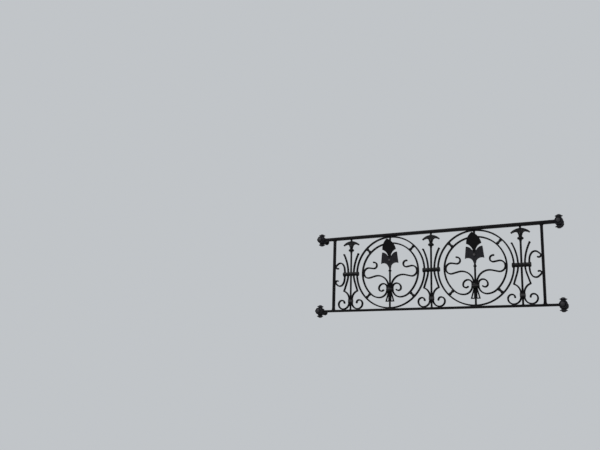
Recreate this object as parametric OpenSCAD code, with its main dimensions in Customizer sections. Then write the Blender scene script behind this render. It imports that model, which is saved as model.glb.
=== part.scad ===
// Wrought iron window balcony railing: two rails, two posts, two ring medallions with a
// flower, three lyres, two side scrolls, and four crowned corner finials on wall brackets.
// The wall is the plane Y = 0, the railing stands in front of it on -Y, and +Z is up.
// The origin is the middle of the back face of the lower left wall bracket.

/* [Panel] */
// Clear height between the two rails, which is also the diameter of a medallion
clear_height = 367; // [340:1:400]
// Room that a lyre has between two medallions
lyre_gap = 62; // [56:1:70]
// Distance from the stem of an end lyre to the middle of its post
end_bay = 96; // [88:1:110]
// Distance from the middle of a post to the middle of a corner finial
rail_overhang = 77; // [60:1:110]
// Distance from the wall to the middle plane of the railing
wall_gap = 60; // [50:1:120]

/* [Rails and posts] */
// Height of the top rail
top_rail_h = 15; // [10:0.5:18]
// Depth of the top rail, front to back
top_rail_d = 20; // [16:0.5:24]
// Height of the bottom rail
bottom_rail_h = 11; // [8:0.5:14]
// Depth of the bottom rail, front to back
bottom_rail_d = 16; // [14:0.5:24]
// Bevel along the long edges of the two rails
rail_bevel = 1.5; // [0.5:0.1:2.5]
// Width of a post, seen from the front
post_w = 11; // [8:0.5:16]
// Depth of a post, front to back
post_d = 16; // [13:0.5:16]
// Reach of the weld at the foot and the head of a post
weld_reach = 4; // [2:0.5:8]

/* [Scroll bars] */
// Width of a flat scroll bar, seen from the front
bar_w = 6.5; // [5:0.25:7]
// Depth of a flat scroll bar, front to back
bar_d = 12; // [9:0.5:14]
// Diameter of a round stem
stem_dia = 8.5; // [7:0.25:9.5]
// Gap between a bar and the collar that it passes through
fit = 0.3; // [0.2:0.05:0.5]
// Gap at the tip of a piece that ends against a curved face
seat = 0.1; // [0.05:0.05:0.3]

/* [Medallions] */
// Distance between the middle lines of the two rings of a medallion
ring_gap = 32; // [28:0.5:36]
// Angle below the horizontal where the inner ring leaves its circle
ring_leave = 48; // [45:1:52]
// Radius of the bend that follows the circle
ring_bend_r = 66; // [60:1:72]
// Radius of the volute's shoulder above the collar
volute_shoulder_r = 20.5; // [19:0.5:24]
// Radius of the volute's back
volute_back_r = 23.5; // [22:0.5:27]
// Radius of the volute's eye
volute_eye_r = 13.5; // [11:0.5:15]
// Diameter of the beads on a ring spacer
spacer_bead_dia = 13; // [10:0.5:15]
// Diameter of a ring spacer between its beads
spacer_core_dia = 9; // [7:0.5:10]

/* [Medallion collar] */
// Distance from the point where the ring's ends turn upright down to the collar's middle
collar_drop_z = 1.8; // [0:0.1:4]
// Height of the collar
collar_h = 22; // [18:0.5:26]
// Wall outside the bars in the medallion collar
collar_wall = 2; // [1.5:0.25:3]
// Drop of the medallion collar's outline from its middle to its ends
collar_drop = 3.5; // [2:0.25:5]

/* [Tendrils] */
// Height of a tendril's loop above the middle of its medallion
tendril_loop_lift = 0.5; // [0:0.1:4]
// Radius of a tendril's first rise
tendril_rise_r = 58.5; // [54:0.5:62]
// Slope of a tendril's straight run, below the horizontal
tendril_slope = 14; // [8:1:20]
// Radius of the loop that touches the inner ring
tendril_loop_r = 26; // [23:0.5:28]
// Length of the run back from the loop
tendril_back_run = 22; // [16:0.5:26]
// Radius of a tendril's end curl
tendril_curl_r = 16; // [13:0.5:18]

/* [Tassels] */
// Width of a tassel at its foot, on one side of the stem
tassel_w = 19; // [15:0.5:23]
// Height of a tassel
tassel_h = 50; // [40:1:56]
// Depth of a tassel, front to back
tassel_d = 8; // [6:0.5:11]
// Thickness of a tassel's legs
tassel_leg = 4.5; // [3.5:0.25:5]

/* [Flowers] */
// Gap between the bud's tip and the top rail, as seen from the front
bud_gap = 17; // [12:0.5:22]
// Distance from the flower's foot down to the bead on its stem
stem_bead_drop = 16; // [12:0.5:22]
// Radius of the bead on the stem
stem_bead_r = 8.5; // [7.5:0.25:10]
// Lean of the flower away from the stem, in degrees
flower_lean = 3.5; // [2:0.5:5]
// Distance that the bud's tip bends forward
bud_bend = 30; // [24:0.5:34]
// Half of the cup's width at its lower corners
cup_foot_w = 46.5; // [44:0.5:50]
// Half of the cup's width at its upper corners
cup_top_w = 40; // [37:0.5:42]
// Height of the cup's lower corners above the flower's foot
cup_foot_z = 21; // [18:0.5:24]
// Height of the cup's upper corners above the flower's foot
cup_top_z = 79; // [76:0.5:82]
// Radius of the cup's two lobes
cup_lobe_r = 32; // [29:1:36]
// Thickness of the cup at its middle
cup_t = 8; // [6:0.5:10]
// Height of the bud's tip above the flower's foot
bud_tip_z = 144; // [140:0.5:148]
// Height of the bud's side corners above the flower's foot
bud_side_z = 91; // [89:0.5:93]
// Half of the bud's width at its side corners
bud_side_w = 36.5; // [35:0.5:38]
// Bulge of the bud's upper edges
bud_bulge = 8.5; // [6:0.5:10]
// Height of the bud's side corners above its waist
bud_waist_drop = 41; // [38:1:44]
// Half of the bud's width at its waist
bud_waist_w = 5.5; // [5:0.5:8]
// Thickness of the bud at its foot and its tip
bud_t = 8; // [7:0.5:10]
// Distance that the bud's ridge stands proud of its side corners
bud_ridge = 11; // [8:0.5:12]
// Thickness of the cup at its rims
rim_t = 5; // [4:0.5:6]

/* [Lyres] */
// Distance from a lyre's stem to its side bars at the collar
lyre_bar_x = 15.5; // [14:0.25:18]
// Radius of the side bars above the collar
lyre_upper_r = 230; // [210:5:250]
// Height of the side bars' free ends above the middle of the collar
lyre_upper_h = 103.5; // [95:0.5:112]
// Diameter of the knobs on the free ends of the side bars
lyre_tip_dia = 9; // [8:0.25:10]
// Radius of the side bars just below the collar
lyre_lower_r = 130; // [110:5:150]
// Turn of the side bars below the collar, in degrees
lyre_lower_turn = 18; // [17:0.5:20]
// Height of the kink above the middle of the bottom rail
kink_z = 101; // [98:1:104]
// Direction of the bar after the kink, below the horizontal
kink_dip = 20; // [15:1:25]
// Radius of the base scroll's heel on the bottom rail
base_heel_r = 32.5; // [30:0.5:35]
// Radius of the base scroll's back
base_back_r = 26; // [24:0.5:29]
// Radius of the base scroll's crest
base_crest_r = 19; // [17.5:0.5:21]
// Radius of the base scroll's eye
base_eye_r = 13; // [11:0.5:15]
// Height of the knot's middle above the middle of the bottom rail
knot_z = 49; // [47:0.5:51]
// Height of the knot
knot_h = 17; // [14:0.5:20]
// Wall of the knot outside the bars
knot_wall = 1.75; // [1.5:0.25:3]

/* [Lyre collars] */
// Diameter of a lyre collar between its ribs
spool_dia = 16; // [14.5:0.5:18]
// Diameter of a lyre collar's ribs
spool_rib_dia = 19; // [17:0.5:22]
// Width of one rib
spool_rib_w = 8.5; // [7.5:0.5:9]
// Length of the collar beyond the outer bars
spool_end = 5; // [4:0.5:8]

/* [Lyre crowns] */
// Radius of the crown's top
crown_top_r = 51; // [48:1:54]
// Gap between the crown and the top rail
crown_gap = 10; // [6:0.5:14]
// Height of the crown's leaf tips below its top
crown_leaf_drop = 22.5; // [20:0.5:25]
// Radius of the hollows under the crown's leaves
crown_hollow_r = 18.5; // [17:0.25:20]
// Distance from the stem to the middle of a hollow
crown_hollow_x = 26.5; // [25.5:0.25:28]
// Distance from the leaf tips down to the middle of a hollow
crown_hollow_drop = 11.5; // [10.5:0.25:13]
// Radius of the crown's neck between its leaves and its bead
crown_neck_r = 7.75; // [7:0.25:9]
// Distance from the crown's top down to its bead
crown_bead_drop = 46; // [42:0.5:50]
// Height of the crown's foot below its bead
crown_foot_h = 15; // [12:0.5:18]
// Depth of the crown's leaves, front to back
crown_d = 12; // [11:0.5:14]
// Diameter of the crown's bead
crown_bead_dia = 25; // [22:0.5:29]

/* [Side scrolls] */
// Distance from an end lyre's stem to the back of its side scroll
scroll_back_x = 34.5; // [33:0.25:36]
// Radius of the scroll's back
scroll_back_r = 220; // [200:5:260]
// Turn of the scroll's back on each side of the collar, in degrees
scroll_back_turn = 11; // [10:0.5:13]
// Radius of the scroll's shoulders
scroll_shoulder_r = 24; // [21:0.5:26]
// Radius of the hooks that touch the post
scroll_hook_r = 14; // [11:0.5:15]

/* [Finials and wall brackets] */
// Diameter of a finial's ball
ball_dia = 40; // [36:0.5:46]
// Height of a finial's ball between its two crowns
ball_h = 42; // [38:0.5:46]
// Half of a finial's height, to the tips of its crowns
finial_reach = 33.5; // [31:0.5:38]
// Radius of a finial's neck, between the ball and a crown
finial_neck_r = 10; // [8:0.5:12]
// Diameter of the crowns at their tips
petal_dia = 30; // [26:0.5:34]
// Points of a crown
petal_count = 6; // [4:1:8]
// Depth that a rail or a bracket's arm goes into the ball
socket_depth = 9; // [6:0.5:11]
// Diameter of a bracket's arm
arm_dia = 14; // [10:0.5:16]
// Diameter of the plate on the wall
plate_dia = 28; // [24:0.5:40]
// Thickness of the plate on the wall
plate_t = 5; // [3:0.5:8]

/* [Hidden] */
$fn = 48;
IRON = [0.09, 0.09, 0.1];
DARK_IRON = [0.06, 0.06, 0.07];
WORN_IRON = [0.16, 0.15, 0.15];

lyre_pitch = clear_height + lyre_gap;
post_x = lyre_pitch + end_bay;
panel_x = post_x + rail_overhang;
rail_gap_z = bottom_rail_h / 2;
top_z = rail_gap_z + clear_height;
top_rail_z = top_z + top_rail_h / 2;
mid_z = rail_gap_z + clear_height / 2;
flower_z = top_z - bud_gap - bud_tip_z;
crown_top_z = top_z - crown_gap;
medallion_x = lyre_pitch / 2;
ring_outer_r = clear_height / 2 - bar_w / 2;
ring_inner_r = ring_outer_r - ring_gap;
stem_r = stem_dia / 2;
joint_step = 0.1;
joint_lap = 0.2;
collar_inset = 1;

// Where the bars pass through the round collars, from the stem outwards
inner_pass_x = stem_r + fit + bar_w / 2;
outer_pass_x = inner_pass_x + bar_w + fit;
ring_side_x = lyre_pitch / 2 - ring_outer_r;

// Bars bent from arcs and straight runs. A run is [radius, turn in degrees], with a turn
// to the left above 0, or [0, length] where it is straight. A pose is [x, z, heading].

function arc_step(pose, r, turn) = let(s = sign(turn), h = pose[2] + turn) [
    pose[0] + s * r * (sin(h) - sin(pose[2])),
    pose[1] - s * r * (cos(h) - cos(pose[2])),
    h
];
function step(pose, run) = run[0] > 0
    ? arc_step(pose, run[0], run[1])
    : [pose[0] + run[1] * cos(pose[2]), pose[1] + run[1] * sin(pose[2]), pose[2]];

module bent_run(pose, run, w, d, lap_in, lap_out) {
    translate([pose[0], pose[1], 0])
        rotate(pose[2])
            if (run[0] > 0)
                mirror([0, run[1] < 0 ? 1 : 0, 0])
                    translate([0, run[0], 0])
                        rotate(-90 - lap_in / run[0] * 180 / PI)
                            rotate_extrude(angle = abs(run[1]) + (lap_in + lap_out) / run[0] * 180 / PI)
                                translate([run[0] - w / 2, -d / 2])
                                    square([w, d]);
            else
                translate([-lap_in, -w / 2, -d / 2])
                    cube([run[1] + lap_in + lap_out, w, d]);
}

// Every second run is a hair slimmer and laps into its neighbours, so that the joints are sound
module bent_bar(pose, runs, w = bar_w, d = bar_d, i = 0) {
    if (i < len(runs)) {
        odd = i % 2;
        bent_run(pose, runs[i], w - odd * joint_step, d - odd * joint_step,
            odd * joint_lap, i < len(runs) - 1 ? odd * joint_lap : 0);
        bent_bar(step(pose, runs[i]), runs, w, d, i + 1);
    }
}

// Stands a drawing in the middle plane of the railing, x to the right and y up
module in_plane(x) {
    translate([panel_x + x, -wall_gap, 0])
        rotate([90, 0, 0])
            children();
}

module on_both_sides() {
    children();
    mirror([1, 0, 0]) children();
}

module upright(x) {
    translate([panel_x + x, -wall_gap, 0]) children();
}

// Rails and posts

module rail_section(d, h) {
    b = rail_bevel;
    polygon([
        [-d / 2, -h / 2 + b], [-d / 2 + b, -h / 2], [d / 2 - b, -h / 2], [d / 2, -h / 2 + b],
        [d / 2, h / 2 - b], [d / 2 - b, h / 2], [-d / 2 + b, h / 2], [-d / 2, h / 2 - b]
    ]);
}

module rail(z, d, h) {
    reach = panel_x - ball_dia / 2 + socket_depth;
    color(IRON)
        translate([panel_x, -wall_gap, z])
            rotate([90, 0, 90])
                linear_extrude(2 * reach, center = true)
                    rail_section(d, h);
}

module post(x) {
    weld_h = 2.5 * weld_reach;
    color(IRON)
        in_plane(x)
            translate([0, rail_gap_z, -post_d / 2])
                linear_extrude(post_d)
                    polygon([
                        [-post_w / 2 - weld_reach, 0], [post_w / 2 + weld_reach, 0],
                        [post_w / 2, weld_h], [post_w / 2, clear_height - weld_h],
                        [post_w / 2 + weld_reach, clear_height], [-post_w / 2 - weld_reach, clear_height],
                        [-post_w / 2, clear_height - weld_h], [-post_w / 2, weld_h]
                    ]);
}

// Medallions

module outer_ring(x) {
    color(IRON)
        in_plane(x)
            translate([0, mid_z, -bar_d / 2])
                linear_extrude(bar_d)
                    difference() {
                        circle(ring_outer_r + bar_w / 2);
                        circle(ring_outer_r - bar_w / 2);
                    }
}

// The inner ring from its top round one side, through the collar and into its volute
ring_start = [0, mid_z + ring_inner_r, 0];
ring_low = step(step(ring_start, [ring_inner_r, -90 - ring_leave]), [ring_bend_r, ring_leave - 90]);
ring_turn_r = ring_low[0] - outer_pass_x;
ring_in_collar_z = ring_low[1] + ring_turn_r;
collar_z = ring_in_collar_z - collar_drop_z;
volute_foot_z = collar_z + collar_h / 2 - collar_inset;
ring_runs = [
    [ring_inner_r, -90 - ring_leave],
    [ring_bend_r, ring_leave - 90],
    [ring_turn_r, -90],
    [0, volute_foot_z - ring_in_collar_z],
    [volute_shoulder_r, -90],
    [volute_back_r, -90],
    [volute_eye_r, -155]
];

module inner_ring_bars(w, d) {
    on_both_sides() bent_bar(ring_start, ring_runs, w, d);
}

module inner_ring(x) {
    color(IRON) in_plane(x) inner_ring_bars(bar_w, bar_d);
}

module ring_spacers(x) {
    low = ring_inner_r + bar_w / 2 + seat;
    high = ring_outer_r - bar_w / 2 - seat;
    bead = 5;
    color(IRON)
        in_plane(x)
            translate([0, mid_z, 0])
                for (a = [45:90:315])
                    rotate([0, 0, a])
                        rotate([0, 90, 0]) {
                            translate([0, 0, low]) cylinder(d = spacer_core_dia, h = high - low);
                            for (r = [low + 1.5, high - 1.5 - bead])
                                translate([0, 0, r]) cylinder(d = spacer_bead_dia, h = bead);
                        }
}

// The stem runs between the rings' inner faces, and a short stub ties the two rings above it
module flower_stem(x) {
    foot = rail_gap_z + bar_w + seat;
    ring_low_face = mid_z + ring_inner_r - bar_w / 2 - seat;
    ring_high_face = mid_z + ring_inner_r + bar_w / 2 + seat;
    head = top_z - bar_w - seat;
    bead_z = flower_z - stem_bead_drop;
    color(IRON)
        upright(x) {
            translate([0, 0, foot]) cylinder(d = stem_dia, h = ring_low_face - foot);
            translate([0, 0, ring_high_face]) cylinder(d = stem_dia, h = head - ring_high_face);
            translate([0, 0, bead_z]) bead(stem_bead_r, 4);
        }
}

// A turned bead round an upright stem: its radius and half of its height
module bead(r, half_h) {
    rotate_extrude()
        intersection() {
            translate([r - 1.4 * half_h, 0]) circle(1.4 * half_h);
            translate([0, -half_h]) square([r + 1, 2 * half_h]);
        }
}

// A round collar's solid, bulging at its middle
module collar_body(r, h, drop) {
    bulge_r = (h * h / 4 + drop * drop) / (2 * drop);
    rotate_extrude()
        intersection() {
            translate([r - bulge_r, 0]) circle(bulge_r);
            translate([0, -h / 2]) square([r + 1, h]);
        }
}

// A tendril's run reaches the loop that touches the ring, and its foot takes up the height
loop_x = ring_inner_r - bar_w - seat - tendril_loop_r;
loop_z = mid_z + tendril_loop_lift;
tendril_start = [inner_pass_x, collar_z - collar_h / 2 + collar_inset, 90];
tendril_rise = arc_step([inner_pass_x, 0, 90], tendril_rise_r, -90 - tendril_slope);
tendril_run = (loop_x - tendril_loop_r * sin(tendril_slope) - tendril_rise[0]) / cos(tendril_slope);
tendril_dip = tendril_loop_r * cos(tendril_slope) - tendril_run * sin(tendril_slope);
tendril_foot_z = loop_z - tendril_dip - tendril_rise[1];
tendril_runs = [
    [0, tendril_foot_z - tendril_start[1]],
    [tendril_rise_r, -90 - tendril_slope],
    [0, tendril_run],
    [tendril_loop_r, 190 + tendril_slope],
    [0, tendril_back_run],
    [tendril_curl_r, -210]
];

module tendril_bars(w, d) {
    on_both_sides() bent_bar(tendril_start, tendril_runs, w, d);
}

module tendrils(x) {
    color(IRON) in_plane(x) tendril_bars(bar_w, bar_d);
}

module medallion_collar(x) {
    grow = 2 * fit;
    color(WORN_IRON)
        difference() {
            upright(x)
                translate([0, 0, collar_z])
                    collar_body(outer_pass_x + bar_w / 2 + collar_wall, collar_h, collar_drop);
            upright(x)
                translate([0, 0, collar_z - collar_h])
                    cylinder(d = stem_dia + grow, h = 2 * collar_h);
            in_plane(x)
                on_both_sides() {
                    bent_bar(step(step(ring_start, ring_runs[0]), ring_runs[1]),
                        [ring_runs[2], [0, collar_h]], bar_w + grow, bar_d + grow);
                    bent_bar(tendril_start, [[0, collar_h]], bar_w + grow, bar_d + grow);
                }
        }
}

// Two open triangles that hang from the collar on either side of the stem
module tassel(x) {
    top = collar_z - collar_h / 2;
    foot = top - tassel_h;
    near = stem_r + fit;
    leg = tassel_leg;
    color(IRON)
        in_plane(x)
            translate([0, 0, -tassel_d / 2])
                linear_extrude(tassel_d)
                    on_both_sides()
                        difference() {
                            polygon([
                                [near, foot], [near + tassel_w, foot],
                                [near + leg, top], [near, top]
                            ]);
                            polygon([
                                [near + 0.6 * leg, foot + leg],
                                [near + tassel_w - 1.5 * leg, foot + leg],
                                [near + 0.6 * leg, top - 3 * leg]
                            ]);
                        }
}

// Flower heads

module cup_outline() {
    scallop_r = 0.625 * cup_foot_w;
    scallop_x = 0.72 * cup_foot_w;
    scallop_z = cup_foot_z - sqrt(pow(scallop_r, 2) - pow(cup_foot_w - scallop_x, 2)) - 0.9;
    lobe_r = cup_lobe_r;
    bridge_z = cup_top_z - 0.58 * lobe_r;
    difference() {
        intersection() {
            polygon([
                [-cup_foot_w, cup_foot_z], [-cup_top_w, cup_top_z], [cup_top_w, cup_top_z],
                [cup_foot_w, cup_foot_z], [6, 0], [-6, 0]
            ]);
            union() {
                on_both_sides() translate([cup_top_w, cup_top_z - lobe_r]) circle(lobe_r);
                translate([-cup_foot_w, 0]) square([2 * cup_foot_w, bridge_z]);
            }
        }
        on_both_sides() translate([scallop_x, scallop_z]) circle(scallop_r);
    }
}

bud_waist_z = bud_side_z - bud_waist_drop;

module bud_outline() {
    waist_reach = bud_side_w - bud_waist_w;
    waist_r = (waist_reach * waist_reach + bud_waist_drop * bud_waist_drop) / (2 * waist_reach);
    chord = [bud_side_w, bud_side_z - bud_tip_z];
    half = norm(chord) / 2;
    side_r = (half * half + bud_bulge * bud_bulge) / (2 * bud_bulge);
    back = (side_r - bud_bulge) / (2 * half);
    side_x = bud_side_w / 2 + chord[1] * back;
    side_z = (bud_side_z + bud_tip_z) / 2 - chord[0] * back;
    difference() {
        intersection() {
            translate([side_x, side_z]) circle(side_r);
            translate([-side_x, side_z]) circle(side_r);
            translate([-bud_side_w - 1, bud_waist_z - 12]) square([2 * bud_side_w + 2, bud_tip_z]);
        }
        on_both_sides() translate([bud_waist_w + waist_r, bud_waist_z]) circle(waist_r);
    }
}

// The cup is thickest along its middle
module cup() {
    half_w = cup_foot_w + 2;
    intersection() {
        rotate([90, 0, 0]) linear_extrude(cup_t) cup_outline();
        translate([0, 0, -1])
            linear_extrude(cup_top_z + 2)
                polygon([[-half_w, 1], [half_w, 1], [half_w, -rim_t], [0, -cup_t], [-half_w, -rim_t]]);
    }
}

// The bud's back bends forward along an arc, and its ridge leans out in front of it
module bud() {
    rise = bud_tip_z - bud_waist_z;
    back_r = (rise * rise + bud_bend * bud_bend) / (2 * bud_bend);
    deep = 2 * bud_bend;
    wide = bud_side_w + 2;
    wide_y = bud_ridge * wide / bud_side_w - bud_t;
    intersection() {
        rotate([90, 0, 0]) linear_extrude(deep) bud_outline();
        translate([-bud_side_w - 1, -back_r, bud_waist_z])
            rotate([0, 90, 0])
                cylinder(r = back_r, h = 2 * bud_side_w + 2, $fn = 180);
        translate([0, 0, bud_waist_z])
            rotate([atan(bud_bend / rise), 0, 0])
                translate([0, 0, -bud_waist_z])
                    linear_extrude(2 * bud_tip_z)
                        polygon([
                            [0, -bud_t], [wide, wide_y], [wide, deep], [-wide, deep], [-wide, wide_y]
                        ]);
    }
}

module flower_head(x) {
    socket_h = 20;
    boss_drop = 42;
    color(DARK_IRON)
        difference() {
            upright(x) {
                translate([0, 0, flower_z])
                    rotate([flower_lean, 0, 0]) {
                        cup();
                        bud();
                        translate([0, 1 - cup_t, cup_top_z - boss_drop])
                            rotate([90, 0, 0])
                                cylinder(r1 = 6, r2 = 3.5, h = 4.5);
                    }
                translate([0, 0, flower_z + 4]) bead(stem_bead_r, 4);
                translate([0, 0, flower_z + 4]) cylinder(r = stem_r + 2.5, h = socket_h);
            }
            upright(x) translate([0, 0, flower_z - 10]) cylinder(d = stem_dia + 2 * fit, h = 2 * bud_tip_z);
        }
}

// Lyres

lyre_upper_turn = asin(lyre_upper_h / lyre_upper_r);
lyre_tip = arc_step([lyre_bar_x, mid_z, 90], lyre_upper_r, -lyre_upper_turn);
lyre_flare = arc_step([lyre_bar_x, mid_z, -90], lyre_lower_r, lyre_lower_turn);
lyre_flare_run = (lyre_flare[1] - kink_z) / cos(lyre_lower_turn);
kink_x = lyre_flare[0] + lyre_flare_run * sin(lyre_lower_turn);
kink_r = (kink_x - inner_pass_x) / (1 - sin(kink_dip));
knot_in_z = kink_z - kink_r * cos(kink_dip);
heel_z = rail_gap_z + bar_w / 2 + base_heel_r;
base_runs = [
    [kink_r, 90 - kink_dip],
    [0, knot_in_z - heel_z],
    [base_heel_r, 90],
    [base_back_r, 90],
    [base_crest_r, 90],
    [base_eye_r, 110]
];

module lyre_bar_pair(w, d) {
    on_both_sides() {
        bent_bar([lyre_bar_x, mid_z, 90], [[lyre_upper_r, -lyre_upper_turn]], w, d);
        translate([lyre_tip[0], lyre_tip[1], -d / 2 - joint_lap])
            cylinder(d = lyre_tip_dia + w - bar_w, h = d + 2 * joint_lap);
        bent_bar([lyre_bar_x, mid_z, -90], [[lyre_lower_r, lyre_lower_turn], [0, lyre_flare_run]], w, d);
        bent_bar([kink_x, kink_z, 180 + kink_dip], base_runs, w, d);
        translate([kink_x, kink_z, -d / 2 - joint_lap]) cylinder(d = w + 1, h = d + 2 * joint_lap);
    }
}

module lyre_bars(x) {
    color(IRON) in_plane(x) lyre_bar_pair(bar_w, bar_d);
}

module lyre_stem(x) {
    color(IRON) upright(x) translate([0, 0, rail_gap_z]) cylinder(d = stem_dia, h = clear_height);
}

module lyre_crown(x) {
    tip_z = crown_top_z - crown_leaf_drop;
    hollow_z = tip_z - crown_hollow_drop;
    bead_z = crown_top_z - crown_bead_drop;
    foot_z = bead_z - crown_foot_h;
    bead_r = crown_bead_dia / 2;
    bead_h = 0.4 * crown_foot_h;
    color(DARK_IRON)
        difference() {
            union() {
                in_plane(x)
                    translate([0, 0, -crown_d / 2])
                        linear_extrude(crown_d)
                            difference() {
                                translate([0, crown_top_z - crown_top_r]) circle(crown_top_r);
                                on_both_sides() {
                                    translate([crown_hollow_x, hollow_z]) circle(crown_hollow_r);
                                    translate([crown_neck_r, -1]) square([crown_top_r, tip_z + 1]);
                                }
                                translate([-crown_top_r, -1]) square([2 * crown_top_r, hollow_z]);
                            }
                upright(x)
                    rotate_extrude()
                        polygon([
                            [0, foot_z], [stem_r + 1, foot_z], [crown_neck_r, bead_z - bead_h],
                            [0.86 * bead_r, bead_z - bead_h / 2], [bead_r, bead_z],
                            [0.86 * bead_r, bead_z + bead_h / 2], [crown_neck_r, bead_z + bead_h],
                            [crown_neck_r, tip_z], [0, tip_z]
                        ]);
            }
            upright(x) cylinder(d = stem_dia + 2 * fit, h = top_z + 1);
        }
}

// A spool that ties the neighbouring ring or scroll, the side bars and the stem together
module lyre_collar(x, left_x, right_x) {
    grow = 2 * fit;
    low_x = -left_x - bar_w / 2 - spool_end;
    high_x = right_x + bar_w / 2 + spool_end;
    rib_w = spool_rib_w;
    ribs = [low_x + rib_w / 2, -lyre_bar_x, 0, lyre_bar_x, high_x - rib_w / 2];
    color(WORN_IRON)
        difference() {
            upright(x)
                translate([0, 0, mid_z])
                    rotate([0, 90, 0]) {
                        translate([0, 0, low_x]) cylinder(d = spool_dia, h = high_x - low_x);
                        for (rib = ribs)
                            translate([0, 0, rib - rib_w / 2])
                                cylinder(d = spool_rib_dia, h = rib_w);
                    }
            upright(x)
                translate([0, 0, mid_z - spool_rib_dia])
                    cylinder(d = stem_dia + grow, h = 2 * spool_rib_dia);
            in_plane(x) lyre_bar_pair(bar_w + grow, bar_d + grow);
            neighbour_bars(x, grow);
        }
}

// The rings and side scrolls that pass through the lyre collars
module neighbour_bars(x, grow) {
    for (m = [-medallion_x, medallion_x])
        if (abs(m - x) < lyre_pitch)
            in_plane(m)
                translate([0, mid_z, -bar_d / 2 - grow / 2])
                    linear_extrude(bar_d + grow)
                        difference() {
                            circle(ring_outer_r + bar_w / 2 + grow / 2);
                            circle(ring_outer_r - bar_w / 2 - grow / 2);
                        }
    for (s = [-1, 1])
        if (s * x > 0)
            side_scroll_bars(s, bar_w + grow, bar_d + grow);
}

// A band bent round the two bars and the stem
module lyre_knot(x) {
    grow = 2 * fit;
    w = inner_pass_x + bar_w / 2 + knot_wall;
    d = bar_d / 2 + knot_wall;
    b = knot_wall;
    color(WORN_IRON)
        difference() {
            upright(x)
                translate([0, 0, knot_z - knot_h / 2])
                    linear_extrude(knot_h)
                        polygon([
                            [-w, -d + b], [-w + b, -d], [w - b, -d], [w, -d + b],
                            [w, d - b], [w - b, d], [-w + b, d], [-w, d - b]
                        ]);
            upright(x) translate([0, 0, knot_z - knot_h]) cylinder(d = stem_dia + grow, h = 2 * knot_h);
            in_plane(x) lyre_bar_pair(bar_w + grow, bar_d + grow);
        }
}

// Side scrolls

scroll_x = lyre_pitch + scroll_back_x;
scroll_shoulder = step(step([scroll_x, mid_z, 90], [scroll_back_r, -scroll_back_turn]),
    [scroll_shoulder_r, scroll_back_turn - 90]);
hook_x = post_x - post_w / 2 - seat - bar_w / 2 - scroll_hook_r;
scroll_runs = [
    [scroll_back_r, -scroll_back_turn],
    [scroll_shoulder_r, scroll_back_turn - 90],
    [0, hook_x - scroll_shoulder[0]],
    [scroll_hook_r, -215]
];

module side_scroll_bars(side, w, d) {
    in_plane(0)
        mirror([side < 0 ? 1 : 0, 0, 0])
            for (up = [0, 1])
                translate([0, mid_z, 0])
                    mirror([0, up, 0])
                        translate([0, -mid_z, 0])
                            bent_bar([scroll_x, mid_z, 90], scroll_runs, w, d);
}

module side_scroll(side) {
    color(IRON) side_scroll_bars(side, bar_w, bar_d);
}

// Corner finials and wall brackets

module finial_crown() {
    root_z = ball_h / 2 - 1;
    notch_h = 6;
    notch_w = petal_dia * sin(180 / petal_count) / 2 - 1;
    difference() {
        rotate_extrude()
            polygon([
                [0, root_z], [finial_neck_r - 0.5, root_z], [petal_dia / 2, finial_reach - 2],
                [petal_dia / 2 - 1.5, finial_reach], [finial_neck_r - 3, root_z + 5], [0, root_z + 5]
            ]);
        for (i = [0:petal_count - 1])
            rotate([0, 0, (i + 0.5) * 360 / petal_count - 90])
                rotate([90, 0, 90])
                    translate([0, 0, finial_neck_r - 3])
                        linear_extrude(petal_dia / 2)
                            polygon([
                                [0, finial_reach - notch_h],
                                [notch_w, finial_reach + 1],
                                [-notch_w, finial_reach + 1]
                            ]);
    }
}

module finial_ball() {
    sagitta = ball_dia / 2 - finial_neck_r;
    side_r = (ball_h * ball_h / 4 + sagitta * sagitta) / (2 * sagitta);
    rotate_extrude()
        intersection() {
            translate([ball_dia / 2 - side_r, 0]) circle(side_r);
            translate([0, -ball_h / 2]) square([ball_dia, ball_h]);
        }
}

// Mirrors what stands at the left end of the panel to its right end
module at_end(side) {
    translate([side < 0 ? 0 : 2 * panel_x, 0, 0])
        mirror([side < 0 ? 0 : 1, 0, 0])
            children();
}

module finial(side, z, rail_d, rail_h) {
    socket_x = ball_dia / 2 - socket_depth - fit;
    color(DARK_IRON)
        at_end(side)
            difference() {
                translate([0, -wall_gap, z]) {
                    finial_ball();
                    finial_crown();
                    mirror([0, 0, 1]) finial_crown();
                }
                translate([socket_x, -wall_gap - rail_d / 2 - fit, z - rail_h / 2 - fit])
                    cube([ball_dia, rail_d + 2 * fit, rail_h + 2 * fit]);
                translate([0, -wall_gap + socket_x, z])
                    rotate([-90, 0, 0])
                        cylinder(d = arm_dia + 2 * fit, h = ball_dia);
            }
}

module bracket(side, z) {
    arm_from = -wall_gap + ball_dia / 2 - socket_depth;
    color(IRON)
        at_end(side)
            translate([0, 0, z])
                rotate([90, 0, 0])
                    rotate_extrude()
                        polygon([
                            [0, 0], [plate_dia / 2, 0], [plate_dia / 2, plate_t - 1.5],
                            [plate_dia / 2 - 1.5, plate_t], [arm_dia / 2 + 3, plate_t],
                            [arm_dia / 2 + 3, plate_t + 3], [arm_dia / 2, plate_t + 6],
                            [arm_dia / 2, -arm_from], [0, -arm_from]
                        ]);
}

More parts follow.
